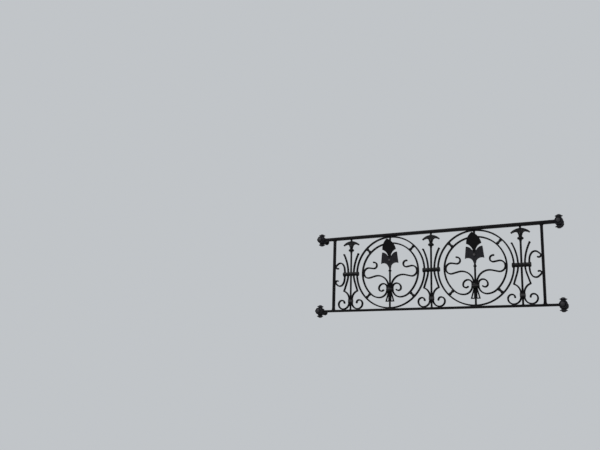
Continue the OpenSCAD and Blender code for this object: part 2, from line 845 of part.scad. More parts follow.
rail(top_rail_z, top_rail_d, top_rail_h);  // top_rail
rail(0, bottom_rail_d, bottom_rail_h);  // bottom_rail
post(-post_x);  // left_post
post(post_x);  // right_post
outer_ring(-medallion_x);  // left_outer_ring
outer_ring(medallion_x);  // right_outer_ring
inner_ring(-medallion_x);  // left_inner_ring
inner_ring(medallion_x);  // right_inner_ring
ring_spacers(-medallion_x);  // left_ring_spacers
ring_spacers(medallion_x);  // right_ring_spacers
flower_stem(-medallion_x);  // left_flower_stem
flower_stem(medallion_x);  // right_flower_stem
flower_head(-medallion_x);  // left_flower_head
flower_head(medallion_x);  // right_flower_head
tendrils(-medallion_x);  // left_tendrils
tendrils(medallion_x);  // right_tendrils
medallion_collar(-medallion_x);  // left_medallion_collar
medallion_collar(medallion_x);  // right_medallion_collar
tassel(-medallion_x);  // left_tassel
tassel(medallion_x);  // right_tassel
lyre_stem(-lyre_pitch);  // left_lyre_stem
lyre_stem(0);  // middle_lyre_stem
lyre_stem(lyre_pitch);  // right_lyre_stem
lyre_crown(-lyre_pitch);  // left_lyre_crown
lyre_crown(0);  // middle_lyre_crown
lyre_crown(lyre_pitch);  // right_lyre_crown
lyre_bars(-lyre_pitch);  // left_lyre_bars
lyre_bars(0);  // middle_lyre_bars
lyre_bars(lyre_pitch);  // right_lyre_bars
lyre_collar(-lyre_pitch, scroll_back_x, ring_side_x);  // left_lyre_collar
lyre_collar(0, ring_side_x, ring_side_x);  // middle_lyre_collar
lyre_collar(lyre_pitch, ring_side_x, scroll_back_x);  // right_lyre_collar
lyre_knot(-lyre_pitch);  // left_lyre_knot
lyre_knot(0);  // middle_lyre_knot
lyre_knot(lyre_pitch);  // right_lyre_knot
side_scroll(-1);  // left_side_scroll
side_scroll(1);  // right_side_scroll
finial(-1, 0, bottom_rail_d, bottom_rail_h);  // lower_left_finial
finial(1, 0, bottom_rail_d, bottom_rail_h);  // lower_right_finial
finial(-1, top_rail_z, top_rail_d, top_rail_h);  // upper_left_finial
finial(1, top_rail_z, top_rail_d, top_rail_h);  // upper_right_finial
bracket(-1, 0);  // lower_left_bracket
bracket(1, 0);  // lower_right_bracket
bracket(-1, top_rail_z);  // upper_left_bracket
bracket(1, top_rail_z);  // upper_right_bracket
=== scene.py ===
"""Iron balcony railing: the forged, turned and cast pieces that dress the packed model.

Every piece is built where the packed model has its node, in metres, in the same frame:
X to the right along the railing, Y into the wall and Z up.
"""

from math import asin, ceil, copysign, cos, exp, hypot, pi, radians, sin, sqrt

import bmesh
import bpy
import numpy as np
from bpy.props import FloatProperty, FloatVectorProperty, IntProperty, PointerProperty
from mathutils import Matrix, Vector, noise


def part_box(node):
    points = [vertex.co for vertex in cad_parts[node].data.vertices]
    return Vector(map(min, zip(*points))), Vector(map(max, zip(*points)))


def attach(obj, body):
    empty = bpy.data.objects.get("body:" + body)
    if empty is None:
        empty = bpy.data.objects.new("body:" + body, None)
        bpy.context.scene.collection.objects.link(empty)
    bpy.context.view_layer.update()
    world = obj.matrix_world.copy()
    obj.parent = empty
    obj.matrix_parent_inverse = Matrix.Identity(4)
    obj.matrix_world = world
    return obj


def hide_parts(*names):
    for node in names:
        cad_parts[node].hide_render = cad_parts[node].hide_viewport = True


bl_info = {
    "name": "Iron balcony railing",
    "version": (1, 0, 0),
    "blender": (4, 5, 0),
    "location": "3D View > Sidebar > Railing",
    "description": "Builds a wrought iron window balcony railing round its packed model",
    "category": "Object",
}

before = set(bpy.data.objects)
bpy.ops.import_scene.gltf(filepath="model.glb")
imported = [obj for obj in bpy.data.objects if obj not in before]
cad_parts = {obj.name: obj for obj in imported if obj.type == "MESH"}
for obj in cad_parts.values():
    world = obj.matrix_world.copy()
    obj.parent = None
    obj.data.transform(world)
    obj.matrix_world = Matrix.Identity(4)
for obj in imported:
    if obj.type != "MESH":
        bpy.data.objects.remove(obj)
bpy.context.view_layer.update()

MM = 0.001
QUARTER = pi / 2
UP = (0, 0, 1)
SIDES = ("left", "right")
LYRES = ("left", "middle", "right")
CORNERS = ("lower_left", "lower_right", "upper_left", "upper_right")


def middle(node):
    """The middle of a node's box."""
    low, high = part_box(node)
    return (np.array(low) + np.array(high)) / 2


def extent(node):
    """The size of a node's box along X, Y and Z."""
    low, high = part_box(node)
    return np.array(high) - np.array(low)


PANEL_X, PANEL_Y = middle("middle_lyre_stem")[:2]
UNDER_TOP_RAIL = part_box("top_rail")[0].z
OVER_BOTTOM_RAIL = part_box("bottom_rail")[1].z
CLEAR_HEIGHT = UNDER_TOP_RAIL - OVER_BOTTOM_RAIL
MID_Z = (UNDER_TOP_RAIL + OVER_BOTTOM_RAIL) / 2
MEDALLION_X = {side: middle(side + "_outer_ring")[0] for side in SIDES}
LYRE_X = {place: middle(place + "_lyre_stem")[0] for place in LYRES}
POST_X = {side: middle(side + "_post")[0] for side in SIDES}
COLLAR_Z = middle("left_medallion_collar")[2]
COLLAR_H = extent("left_medallion_collar")[2]

STEM_COATS = 2.4  # coats of paint on a round stem
END_UPSET = 0.7 * MM  # widening of a bar's end under the hammer
STEM_DENT, FORGED_DENT = 0.08 * MM, 0.1 * MM  # depth of the dents in stems and in small forgings
RAIL_MARK, PLATE_MARK, LATHE_MARK = 22 * MM, 14 * MM, 8 * MM  # from one dent to the next
LATHE_WORK, CAST_WORK = (0.06 * MM, LATHE_MARK), (0.1 * MM, 10 * MM)  # depth, and from one to the next
BEAD_DROP = 16 * MM  # from a flower's foot down to the bead on its stem
TOUCH_WELD, HEEL_WELD, RING_WELD = 6 * MM, 8 * MM, 15 * MM  # half the lengths of welds at touching bars
WELD_SUNK = 0.4 * MM  # how far a weld sits in a face
PAST_COLLAR = 1 * MM  # from a collar's end to the end of a bar inside it
VERGE = 2.5 * MM  # width of the worn strip along a casting's outline
SCROLL_STEP, RAIL_STEP = 2.8 * MM, 5 * MM  # from one section of a bar to the next
PATH_STEP = 0.5 * MM  # from one point of a path to the next
MERGE, SLIVER = 2e-6, 1e-7  # points closer than this are one, and edges shorter than this go
BAR_CREASE, CAST_CREASE = radians(42), radians(50)  # edges sharper than this stay sharp
FLOOR_REACH = 9  # radius of the floor in metres
LOOP_TURN = radians(190)  # turn of a tendril's loop from the horizontal
CURL_TURN = radians(-210)  # turn of a tendril's end curl
LYRE_EYE_TURN = radians(110)  # turn of the eye in a lyre's base scroll
HOOK_TURN = radians(235)  # turn of a side scroll's hook from the horizontal


# Sizes and colours that a user would change


def kind_of_setting(prop, convert, **fixed):
    """A short way to write settings of one kind, as (name, default, description).

    A length is given in millimetres and kept in metres, and an angle is given in degrees.
    """

    def setting(name, default, description, **more):
        return prop(name=name, description=description, default=convert(default), **{**fixed, **more})

    return setting


length = kind_of_setting(FloatProperty, lambda size: size * MM, min=0, precision=4, unit="LENGTH")
metres = kind_of_setting(FloatVectorProperty, tuple, size=3, precision=4, unit="LENGTH")
angle = kind_of_setting(FloatProperty, radians, subtype="ANGLE")
colour = kind_of_setting(FloatVectorProperty, tuple, size=3, min=0, max=1, subtype="COLOR")
amount = kind_of_setting(FloatProperty, float, min=0)
share = kind_of_setting(FloatProperty, float, min=0, max=1, subtype="FACTOR")
whole = kind_of_setting(IntProperty, int, min=3)


class BarSizes(bpy.types.PropertyGroup):
    """The stock that the smith starts from, and the marks that the work leaves on it."""

    width: length("Bar width", 6.5, "A flat bar, seen from the front")
    depth: length("Bar depth", 12, "A flat bar, front to back")
    stem: length("Stem diameter", 8.5, "The round stems")
    edge: length("Edge radius", 1.1, "Rounding of a flat bar's long edges")
    rail_edge: length("Rail edge radius", 1.6, "Rounding of the edges of rails and posts")
    post_width: length("Post width", 11, "A post between its welds")
    coat: length("Paint coat", 0.25, "Thickness of the old paint on a bar")
    fit: length("Fit", 0.3, "Gap between a bar and its collar")
    seat: length("Seat", 0.1, "Gap where a bar ends against a curved face")
    hammer_depth: length("Hammer marks", 0.14, "Depth of the hammer's marks")
    hammer_size: length("Hammer mark size", 13, "From one mark to the next")
    weld: length("Weld radius", 1.7, "A weld bead")
    ripple: length("Weld ripple", 1.9, "From one ripple of a weld to the next")


class MedallionSizes(bpy.types.PropertyGroup):
    """The two rings of a medallion, their volutes and the tendrils between them."""

    ring_gap: length("Ring gap", 32, "Between the middle lines of the two rings")
    leave: angle("Leave angle", 48, "Where the inner ring leaves its circle, below the horizontal")
    bend: length("Bend radius", 66, "The bend that follows the circle")
    shoulder: length("Volute shoulder", 20.5, "Radius above the collar")
    back: length("Volute back", 23.5, "Radius of a volute's back")
    eye: length("Volute eye", 13.5, "Radius of a volute's eye")
    eye_turn: angle("Eye turn", 155, "How far the eye rolls in")
    loop_lift: length("Loop lift", 0.5, "Height of a tendril's loop above the middle")
    rise: length("Tendril rise", 58.5, "Radius of a tendril's first rise")
    slope: angle("Tendril slope", 14, "Slope of a tendril's straight run")
    loop: length("Tendril loop", 26, "Radius of the loop that touches the inner ring")
    back_run: length("Back run", 22, "Length of the run back from the loop")
    curl: length("Tendril curl", 16, "Radius of a tendril's end curl")
    spacer_bead: length("Spacer bead", 15.5, "Diameter of the beads on a ring spacer")
    spacer_core: length("Spacer core", 12, "Diameter of a ring spacer between its beads")
    tassel_leg: length("Tassel leg", 5, "Thickness of a tassel's legs")
    tassel_depth: length("Tassel depth", 8, "A tassel, front to back")


class LyreSizes(bpy.types.PropertyGroup):
    """The side bars of a lyre, its knot and the side scrolls beside it."""

    bar_x: length("Bar distance", 15.5, "From the stem to the side bars at the collar")
    upper: length("Upper radius", 230, "The side bars above the collar")
    upper_h: length("Upper height", 103.5, "The free ends above the collar")
    lower: length("Lower radius", 130, "The side bars just below the collar")
    lower_turn: angle("Lower turn", 18, "Turn of the side bars below the collar")
    kink_z: length("Kink height", 101, "Above the middle of the bottom rail")
    kink_dip: angle("Kink dip", 20, "Slope of the bar after the kink")
    heel: length("Heel radius", 32.5, "The base scroll's heel on the bottom rail")
    back: length("Back radius", 26, "The base scroll's back")
    crest: length("Crest radius", 19, "The base scroll's crest")
    eye: length("Eye radius", 13, "The base scroll's eye")
    tip: length("Tip knob", 9, "Diameter of the knobs on the free ends")
    scroll_back_x: length("Side scroll distance", 34.5, "From the stem to the side scroll's back")
    scroll_back: length("Side scroll back", 220, "Radius of the back")
    scroll_turn: angle("Side scroll turn", 8, "Turn of the back on each side of the collar")
    shoulder: length("Side scroll shoulder", 20, "Radius of the shoulders")
    lean: length("Scroll lean", 45, "Radius of the bend between the back and a shoulder")
    lean_turn: angle("Scroll lean turn", 32, "Turn of that bend")
    hook: length("Side scroll hook", 9, "Radius of the hooks that touch the post")
    hook_dip: angle("Hook dip", 42, "Slope of the run that leads down to a hook")


class CollarSizes(bpy.types.PropertyGroup):
    """The collars that tie the bars together."""

    drop: length("Drop", 3.5, "Drop of a round collar's outline from its middle to its ends")
    groove: length("Groove", 0.9, "Depth of the turned grooves")
    rib: length("Rib diameter", 24, "The ribs of a lyre collar")
    rib_width: length("Rib width", 8.5, "One rib of a lyre collar")
    spool: length("Spool diameter", 21.5, "A lyre collar between its ribs")


class CastingSizes(bpy.types.PropertyGroup):
    """The cast flowers, lyre crowns and corner finials."""

    bud_gap: length("Bud gap", 17, "From the bud's tip to the top rail, seen from the front")
    lean: angle("Flower lean", 3.5, "Lean of the flower away from the stem")
    bend: length("Bud bend", 30, "How far the bud's tip bends forward")
    cup_foot_w: length("Cup foot", 46.5, "Half the width at the cup's lower corners")
    cup_top_w: length("Cup top", 40, "Half the width at the cup's upper corners")
    cup_foot_z: length("Cup foot height", 21, "The lower corners above the cup's foot")
    cup_top_z: length("Cup top height", 79, "The upper corners above the cup's foot")
    cup_lobe: length("Cup lobe", 32, "Radius of the cup's two lobes")
    cup_t: length("Cup thickness", 8, "The cup at its middle")
    rim_t: length("Rim thickness", 5, "The cup at its rims")
    bud_tip_z: length("Bud tip", 144, "The bud's tip above the flower's foot")
    bud_side_z: length("Bud side height", 91, "The bud's side corners above the flower's foot")
    bud_side_w: length("Bud side", 36.5, "Half the width at the bud's side corners")
    bud_bulge: length("Bud bulge", 8.5, "Bulge of the bud's upper edges")
    waist_drop: length("Waist drop", 41, "From the bud's side corners down to its waist")
    waist_w: length("Waist", 5.5, "Half the width at the bud's waist")
    bud_t: length("Bud thickness", 8, "The bud at its foot and its tip")
    ridge: length("Bud ridge", 11, "How far the ridge stands proud of the side corners")
    flute: length("Flute depth", 0.9, "The flutes on the cup and the veins on the crowns")
    hatch: length("Hatch depth", 0.4, "The bud's scales")
    crown_top: length("Crown top", 61, "Radius of a lyre crown's top")
    crown_gap: length("Crown gap", 10, "Between a crown and the top rail")
    leaf_drop: length("Leaf drop", 20, "From the crown's top down to its leaf tips")
    leaf_t: length("Leaf depth", 12, "The crown's leaves, front to back")
    hollow: length("Hollow", 13, "Radius of the hollows under the crown's leaves")
    hollow_x: length("Hollow distance", 22.5, "From the stem to the middle of a hollow")
    hollow_drop: length("Hollow drop", 10.5, "From the leaf tips down to a hollow's middle")
    leaf_tip: length("Leaf roll", 8, "Diameter of the rolled leaf tips")
    crown_neck: length("Crown neck", 7.75, "Radius of the crown's neck")
    crown_bead_drop: length("Crown bead drop", 48.5, "From the crown's top down to its bead")
    crown_foot: length("Crown foot", 15, "From the crown's bead down to its foot")
    crown_bead: length("Crown bead", 29.5, "Diameter of the crown's bead")
    ball: length("Finial ball", 40, "Diameter of a finial's ball")
    ball_h: length("Finial ball height", 42, "The ball between its two crowns")
    finial_neck: length("Finial neck", 7.5, "Radius of a finial's neck")
    calyx: metres("Crown", (0.0185, 0.0248, 0.0333), "Root, leaf tips and bud end from the ball's middle")
    calyx_r: metres("Crown radii", (0.0095, 0.0168, 0.0125), "At root, leaf tips and bud's foot")
    back_rosette: metres("Back crown", (0.0135, 0.021, 0.0235), "Root, leaf tips and end on the arm")
    back_rosette_r: metres("Back crown radii", (0.011, 0.0185, 0.0105), "At root, leaf tips and middle")
    petals: whole("Petals", 6, "Petals of one finial crown")
    ribs: whole("Ribs", 12, "Ribs round a finial's ball")


class PaintColours(bpy.types.PropertyGroup):
    """The paint on the four kinds of iron, what the weather did to it, and the painted highlights on
    collars, knots and the flowers' bosses.
    """

    rail: colour("Rail paint", (0.0038, 0.0034, 0.0042), "Rails, posts and brackets")
    bar: colour("Bar paint", (0.0027, 0.0024, 0.0033), "Rings, scrolls, stems and tassels")
    collar: colour("Collar paint", (0.0036, 0.0036, 0.0042), "Collars, knots and spacers")
    # A pale colour laid on the collars' ledges and the knots' middles: a painted highlight.
    collar_worn: colour("Worn collar", (0.06, 0.057, 0.062), "Thin paint on the ledges of collars")
    casting: colour("Casting paint", (0.0022, 0.002, 0.003), "Flowers, crowns and finials")
    cup: colour("Cup paint", (0.0105, 0.0102, 0.0135), "Weathered paint of the flower cups")
    # The worn edge colour is real edge wear, and laid in full on the flowers' bosses it is a painted
    # highlight.
    worn: colour("Worn edge", (0.06, 0.057, 0.06), "Where the paint has worn thin on the edges")
    dust: colour("Dust", (0.11, 0.105, 0.098), "Dust on upward faces")
    wear: share("Wear", 0.45, "How far the edges are worn")
    dusting: share("Dusting", 0.18, "How much dust lies on upward faces")
    shine: share("Specular level", 0.16, "Strength of the paint's reflections")


class StudioSettings(bpy.types.PropertyGroup):
    """The floor, the light and the camera."""

    floor_z: length("Floor level", -2000, "Height of the floor", min=-9)
    floor: colour("Floor", (0.72, 0.72, 0.70), "Colour of the floor")
    sky: colour("Surroundings", (0.92, 0.96, 1.0), "Colour of the plain surroundings")
    sky_strength: amount("Surroundings strength", 0.3, "Light that the surroundings cast")
    backdrop: amount("Background", 0.58, "Brightness of the surroundings in the camera's view")
    key: amount("Key light", 150.0, "Power of the large soft light, in watts", unit="POWER")
    camera: metres("Camera", (1.6538, -3.3048, -0.4142), "Place of the camera", subtype="TRANSLATION")
    yaw: angle("Yaw", -28.914, "Camera direction, from straight at the wall towards the right")
    pitch: angle("Pitch", 13.523, "Camera direction, above the horizontal")
    roll: angle("Roll", 1.950, "Turn of the camera about its own direction")
    lens: amount("Lens", 41.72, "Focal length in millimetres, on a sensor 36 mm wide", unit="CAMERA")


# Mesh building


class Form:
    """The skins of a piece in the making.

    A point's tone goes from 0 to 1; on collars and knots it marks a painted highlight. Its wear does too,
    and on to 2, where the worn colour is laid in full as a painted highlight on the flowers' bosses.
    """

    def __init__(self):
        self.points, self.faces, self.wear, self.tone = [], [], [], []

    def add(self, points, wear, tone):
        """Adds points with their wear and tone, and gives the number of the first."""
        start = len(self.points)
        self.points.extend(map(tuple, points.reshape(-1, 3)))
        self.wear.extend(np.broadcast_to(wear, points.shape[:-1]).ravel())
        self.tone.extend(np.broadcast_to(tone, points.shape[:-1]).ravel())
        return start

    def skin(self, rings, wear=0.0, tone=0.0, loop=False, ends=True):
        """Adds a tube whose ring i has the points rings[i], looped or with a fan at both ends."""
        rings = np.asarray(rings, float)
        count, around = rings.shape[:2]
        start = self.add(rings, wear, tone)
        here = start + np.arange(count * around).reshape(count, around)
        after = np.roll(here, -1, axis=1)
        low, high = (slice(None), list(range(1, count)) + [0]) if loop else (slice(-1), slice(1, None))
        faces = np.stack([here[low], after[low], after[high], here[high]], -1)
        self.faces.extend(map(tuple, faces.reshape(-1, 4).tolist()))
        for ring in (0, count - 1) if ends and not loop else ():
            own = slice(here[ring, 0], here[ring, 0] + around)
            tip = self.add(rings[ring].mean(0)[None], np.mean(self.wear[own]), np.mean(self.tone[own]))
            self.faces.extend((a, b, tip) for a, b in zip(here[ring].tolist(), after[ring].tolist()))


def hump(distance, reach):
    """1 at no distance, and falling like a bell over the reach."""
    return np.exp(-((distance / reach) ** 2))


def rounded_section(width, depth, corner, corner_steps=3, side_points=3):
    """A bar's section: points across and along the depth, and how exposed each one is."""
    section, wear = [], []
    centres = ((1, 1), (-1, 1), (-1, -1), (1, -1))

    def on_corner(quarter, degrees):
        a, b = centres[quarter % 4]
        turn = radians(degrees)
        across, deep = a * (width / 2 - corner), b * (depth / 2 - corner)
        return across + corner * cos(turn), deep + corner * sin(turn)

    for quarter in range(4):
        for k in range(corner_steps + 1):
            section.append(on_corner(quarter, 90 * (quarter + k / corner_steps)))
            wear.append(0.35 + 0.65 * sin(pi * k / corner_steps))
        head, tail = np.array(section[-1]), np.array(on_corner(quarter + 1, 90 * (quarter + 1)))
        count = side_points if quarter % 2 else 1
        for k in range(1, count + 1):
            section.append(tuple(head + (tail - head) * k / (count + 1)))
            wear.append(0.0)
    return np.array(section), np.array(wear)


def walk(start, *runs):
    """Points along arcs and straight runs, from (x, z, heading).

    A run is (radius, turn), with left turns above 0, or (0, length). Angles are in radians.
    """
    x, z, heading = start
    places = [(x, z)]
    for radius, value in runs:
        size = abs(value) * radius if radius else value
        steps = max(2, ceil(size / PATH_STEP))
        side = copysign(1, value)
        x0, z0, from_heading = x, z, heading
        for k in range(1, steps + 1):
            if radius:
                heading = from_heading + value * k / steps
                x = x0 + side * radius * (sin(heading) - sin(from_heading))
                z = z0 - side * radius * (cos(heading) - cos(from_heading))
            else:
                x = x0 + value * k / steps * cos(heading)
                z = z0 + value * k / steps * sin(heading)
            places.append((x, z))
    return np.array(places)


def flat_bar(form, at_x, path, bars, loop=False, stock=None, swell=None, upset=0.0):
    """A painted flat bar with rounded edges along a path in the plane of the railing.

    stock is (width, depth, edge) where it isn't the scroll bars' own, swell(distance, total) gives the
    part of the width at each place, and upset widens the far end.
    """
    width, depth, corner = stock or (bars.width, bars.depth, bars.edge)
    width, depth = width + 2 * bars.coat, depth + 2 * bars.coat
    along = np.concatenate([[0], np.cumsum(np.linalg.norm(np.diff(path, axis=0), axis=1))])
    total = along[-1]
    tangent = np.gradient(path, along, axis=0)
    if loop:
        tangent[0] = tangent[-1] = tangent[0] + tangent[-1]
        where = np.linspace(0, total, round(total / SCROLL_STEP), endpoint=False)
        across = np.ones(len(where))
    else:
        end = width / 2
        close = end * np.array((0, 0.1, 0.3, 0.6))
        count = max(2, round((total - 2 * end) / SCROLL_STEP) + 1)
        where = np.concatenate([close, np.linspace(end, total - end, count), total - close[::-1]])
        near = np.minimum(where, total - where) / end
        across = np.sqrt(1 - (1 - np.clip(near, 0.04, 1)) ** 2)
    centre, direction = (
        np.stack([np.interp(where, along, line[:, k]) for k in (0, 1)], 1) for line in (path, tangent)
    )
    direction /= np.linalg.norm(direction, axis=1)[:, None]
    normal = direction[:, ::-1] * (-1, 1)
    wide = across * (swell(where, total) if swell else 1.0)
    wide = wide * (1 + 2 * upset / width * hump(total - where - 2.2 * MM, 3.2 * MM))
    deep = 1 - (1 - across) * (width / depth)
    section, wear = rounded_section(width, depth, corner)
    flat = centre[:, None] + normal[:, None] * wide[:, None, None] * section[None, :, :1]
    y = PANEL_Y + deep[:, None] * section[None, :, 1]
    form.skin(np.stack([flat[..., 0] + at_x, y, flat[..., 1]], -1), wear, loop=loop)


def turned(form, origin, profile, around=32, axis=UP, flutes=0, flute_depth=0.0, tone=0.0):
    """A body of revolution. Its profile holds (distance along the axis, radius, wear)."""
    profile = np.array(profile, float)
    axis = Vector(axis).normalized()
    side = axis.orthogonal().normalized()
    up = axis.cross(side)
    turn = np.linspace(0, 2 * pi, around, endpoint=False)
    radius = profile[:, 1, None] * np.ones(around)
    if flutes:
        groove = np.abs(np.cos(turn * flutes / 2)) ** 0.7
        radius = radius - flute_depth * profile[:, 3, None] * (1 - groove)
    spokes = np.cos(turn)[:, None] * np.array(side) + np.sin(turn)[:, None] * np.array(up)
    rings = np.array(origin) + profile[:, 0, None, None] * np.array(axis) + radius[..., None] * spokes
    form.skin(rings, profile[:, 2, None], tone)


def rows_from(place, radius, *rows):
    """Profile rows in millimetres beyond a place and a radius, with their wear."""
    return [(place + ahead * MM, radius + out * MM, wear) for ahead, out, wear in rows]


def bead_profile(low, high, edge, crest, steps=8):
    """A half round moulding between two distances, from an edge radius out to its crest."""
    rows = []
    for k in range(steps + 1):
        t = -cos(pi * k / steps)
        rise = sqrt(max(0.0, 1 - t * t))
        place = (low + high) / 2 + t * (high - low) / 2
        rows.append((place, edge + (crest - edge) * rise, 0.15 + 0.7 * rise**3))
    return rows


def cap_profile(half, radius, edge=1.3 * MM):
    """A short round bar across a flat one, its two ends rounded over."""
    rows = [
        (edge - half - edge * cos(a), radius - edge + edge * sin(a), 0.4 + 0.6 * sin(2 * a))
        for a in np.linspace(0, QUARTER, 6)
    ]
    return rows + [(-distance, r, wear) for distance, r, wear in reversed(rows)]


def stem_profile(radius, low, high):
    """A round bar between two heights, its ends flared by their welds."""
    ends = [(0, 1.55, 0.3), (0.8 * MM, 1.42, 0.3), (1.9 * MM, 1.12, 0.1), (3 * MM, 1, 0)]
    rows = [(low + step, radius * grow, wear) for step, grow, wear in ends]
    count = max(2, round((high - low - 6 * MM) / (4 * MM)))
    rows += [(z, radius, 0) for z in np.linspace(low + 3 * MM, high - 3 * MM, count)[1:-1]]
    return rows + [(high - step, radius * grow, wear) for step, grow, wear in reversed(ends)]


def weld_line(form, start, finish, bars, radius=None):
    """A rippled weld bead from one point to the other."""
    way = np.subtract(finish, start)
    reach = np.linalg.norm(way)
    where = np.linspace(0, reach, max(6, round(reach / (0.45 * MM))))
    taper = np.sqrt(np.clip(1 - (2 * where / reach - 1) ** 4, 0.02, 1))
    ripple = 0.86 + 0.14 * np.abs(np.sin(pi * where / bars.ripple))
    profile = np.stack([where, (radius or bars.weld) * taper * ripple, np.full(len(where), 0.3)], 1)
    turned(form, start, profile, around=10, axis=way / reach)


def face_welds(form, start, finish, bars, sunk=WELD_SUNK, radius=None):
    """Welds on the front and the back face of a flat bar, between two points (x, z) of the panel."""
    for face in (-1, 1):
        y = PANEL_Y + face * (bars.depth / 2 - sunk)
        weld_line(form, (start[0], y, start[1]), (finish[0], y, finish[1]), bars, radius)


def plate(form, columns, low, high, surface, rim_radius, rows, upright=False, tone=0.0):
    """A cast plate whose outline runs from low(a) to high(a) at each column a.

    surface(x, z, rim) gives the front and back faces' places along -Y, where rim is the distance from
    the outline. With upright set, the columns run up the plate, and low and high are places across it.
    """
    spread = (1 - np.cos(np.linspace(0, pi, rows))) / 2
    bottom, top = low(columns), high(columns)
    a = np.repeat(columns[:, None], rows, 1)
    b = bottom[:, None] + (top - bottom)[:, None] * spread
    size = a.size
    index = np.arange(size).reshape(a.shape)
    edge = np.concatenate([index[:, 0], index[-1, 1:], index[-2::-1, -1], index[0, -2:0:-1]])
    places = np.stack([a, b], -1)
    rim = distance_to(places.reshape(-1, 2)[edge], places)
    x, z = (b, a) if upright else (a, b)
    front, back = surface(x, z, rim)
    round_off = rim_radius * (1 - np.sqrt(1 - (1 - np.clip(rim / rim_radius, 0, 1)) ** 2))
    wear = np.clip(1 - rim / VERGE, 0, 1) ** 1.5
    start = form.add(np.stack([x, round_off - front, z], -1), wear, tone)
    form.add(np.stack([x, -back - round_off, z], -1), wear, tone)
    quads = np.stack([index[:-1, :-1], index[1:, :-1], index[1:, 1:], index[:-1, 1:]], -1).reshape(-1, 4)
    for i, j, k, m in (start + quads).tolist():
        form.faces += [(i, j, k, m), (m + size, k + size, j + size, i + size)]
    for here, there in zip((start + edge).tolist(), (start + np.roll(edge, -1)).tolist()):
        form.faces.append((here, here + size, there + size, there))


def distance_to(border, places):
    """Distance from each place to a closed outline."""
    nearest = np.full(places.shape[:2], 1e9)
    for start, step in zip(border, np.roll(border, -1, axis=0) - border):
        square = step @ step
        if square < 1e-17:
            continue
        offset = places - start
        t = np.clip((offset @ step) / square, 0, 1)
        nearest = np.minimum(nearest, np.linalg.norm(offset - t[..., None] * step, axis=-1))
    return nearest


def move_points(form, start, matrix):
    """Moves the points that a form has from a number on."""
    form.points[start:] = [tuple(matrix @ Vector(point)) for point in form.points[start:]]


def add_object(name, data):
    """A new object in the scene, for a mesh, a lamp or a camera."""
    made = bpy.data.objects.new(name, data)
    bpy.context.collection.objects.link(made)
    return made


def make_piece(form, node, kind, slot, hammer=None, mark=None):
    """Turns a form into an object that stands for a node and rides with the railing.

    hammer is the dents' depth and mark the distance between them, where they aren't a bar's.
    """
    bars = bpy.context.scene.railing_bars
    hammer, mark = hammer or bars.hammer_depth, mark or bars.hammer_size
    name = node + "_" + kind
    mesh = bpy.data.meshes.new(name)
    mesh.from_pydata(form.points, [], form.faces)
    for title, values in (("wear", form.wear), ("tone", form.tone)):
        layer = mesh.attributes.new(title, "FLOAT", "POINT")
        layer.data.foreach_set("value", np.array(values, np.float32))
    shell = bmesh.new()
    shell.from_mesh(mesh)
    bmesh.ops.remove_doubles(shell, verts=shell.verts, dist=MERGE)
    bmesh.ops.dissolve_degenerate(shell, edges=shell.edges, dist=SLIVER)
    bmesh.ops.recalc_face_normals(shell, faces=shell.faces)
    shell.normal_update()
    for point in shell.verts:
        dent = noise.noise(point.co / mark) + 0.45 * noise.noise(point.co * 2.7 / mark)
        point.co += point.normal * (hammer * (dent - 0.4))
    shell.to_mesh(mesh)
    shell.free()
    mesh.shade_smooth()
    mesh.set_sharp_from_angle(angle=CAST_CREASE if kind == "cast" else BAR_CREASE)
    mesh.materials.append(finish_for(slot))
    piece = add_object(name, mesh)
    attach(piece, "root")
    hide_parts(node)


# Finishes


class Value:
    """A number that varies over a surface. Sums on it add Math nodes to its finish."""

    def __init__(self, finish, socket):
        self.finish, self.socket = finish, socket

    def _sum(self, operation, first, second):
        return self.finish.node("ShaderNodeMath", {"operation": operation}, {0: first, 1: second})

    def __add__(self, other):
        return self._sum("ADD", self, other)

    def __sub__(self, other):
        return self._sum("SUBTRACT", self, other)

    def __rsub__(self, other):
        return self._sum("SUBTRACT", other, self)

    def __mul__(self, other):
        return self._sum("MULTIPLY", self, other)

    __radd__ = __add__
    __rmul__ = __mul__


class Finish:
    """The nodes of a new material, or of the surroundings."""

    def __init__(self, owner):
        owner.use_nodes = True
        self.owner, self.tree = owner, owner.node_tree

    def node(self, kind, settings, sockets, output=0):
        """Adds a node, sets its settings and then its sockets' values or links, and gives an output."""
        added = self.tree.nodes.new(kind)
        for key, value in settings.items():
            setattr(added, key, value)
        self.connect(added, sockets)
        return Value(self, added.outputs[output])

    def connect(self, node, sockets):
        """Sets or links sockets of a node by name or number."""
        for key, value in sockets.items():
            if isinstance(value, Value):
                self.tree.links.new(value.socket, node.inputs[key])
            else:
                node.inputs[key].default_value = value

    def place(self):
        """The place on the object."""
        return self.node("ShaderNodeTexCoord", {}, {}, "Object")

    def attribute(self, name):
        """A value that the mesh holds for each of its points."""
        return self.node("ShaderNodeAttribute", {"attribute_name": name}, {}, "Fac")

    def noise(self, place, size, detail=3.0, stretch=0.0):
        """Soft noise from 0 to 1, with patches of about the size given."""
        sockets = {"Vector": place, "Scale": 1 / size, "Detail": detail, "Distortion": stretch}
        return self.node("ShaderNodeTexNoise", {}, sockets)

    def smooth(self, value, low, high):
        """0 below low, 1 above high and a soft step between."""
        sockets = {"Value": value, "From Min": low, "From Max": high}
        return self.node("ShaderNodeMapRange", {"interpolation_type": "SMOOTHSTEP"}, sockets)

    def blend(self, factor, first, second):
        """A colour between two colours."""
        first, second = (c if isinstance(c, Value) else (*c, 1) for c in (first, second))
        return self.node("ShaderNodeMix", {"data_type": "RGBA"}, {0: factor, 6: first, 7: second}, 2)


def shade(tint, part):
    """A colour made darker or paler."""
    return tuple(part * c for c in tint)


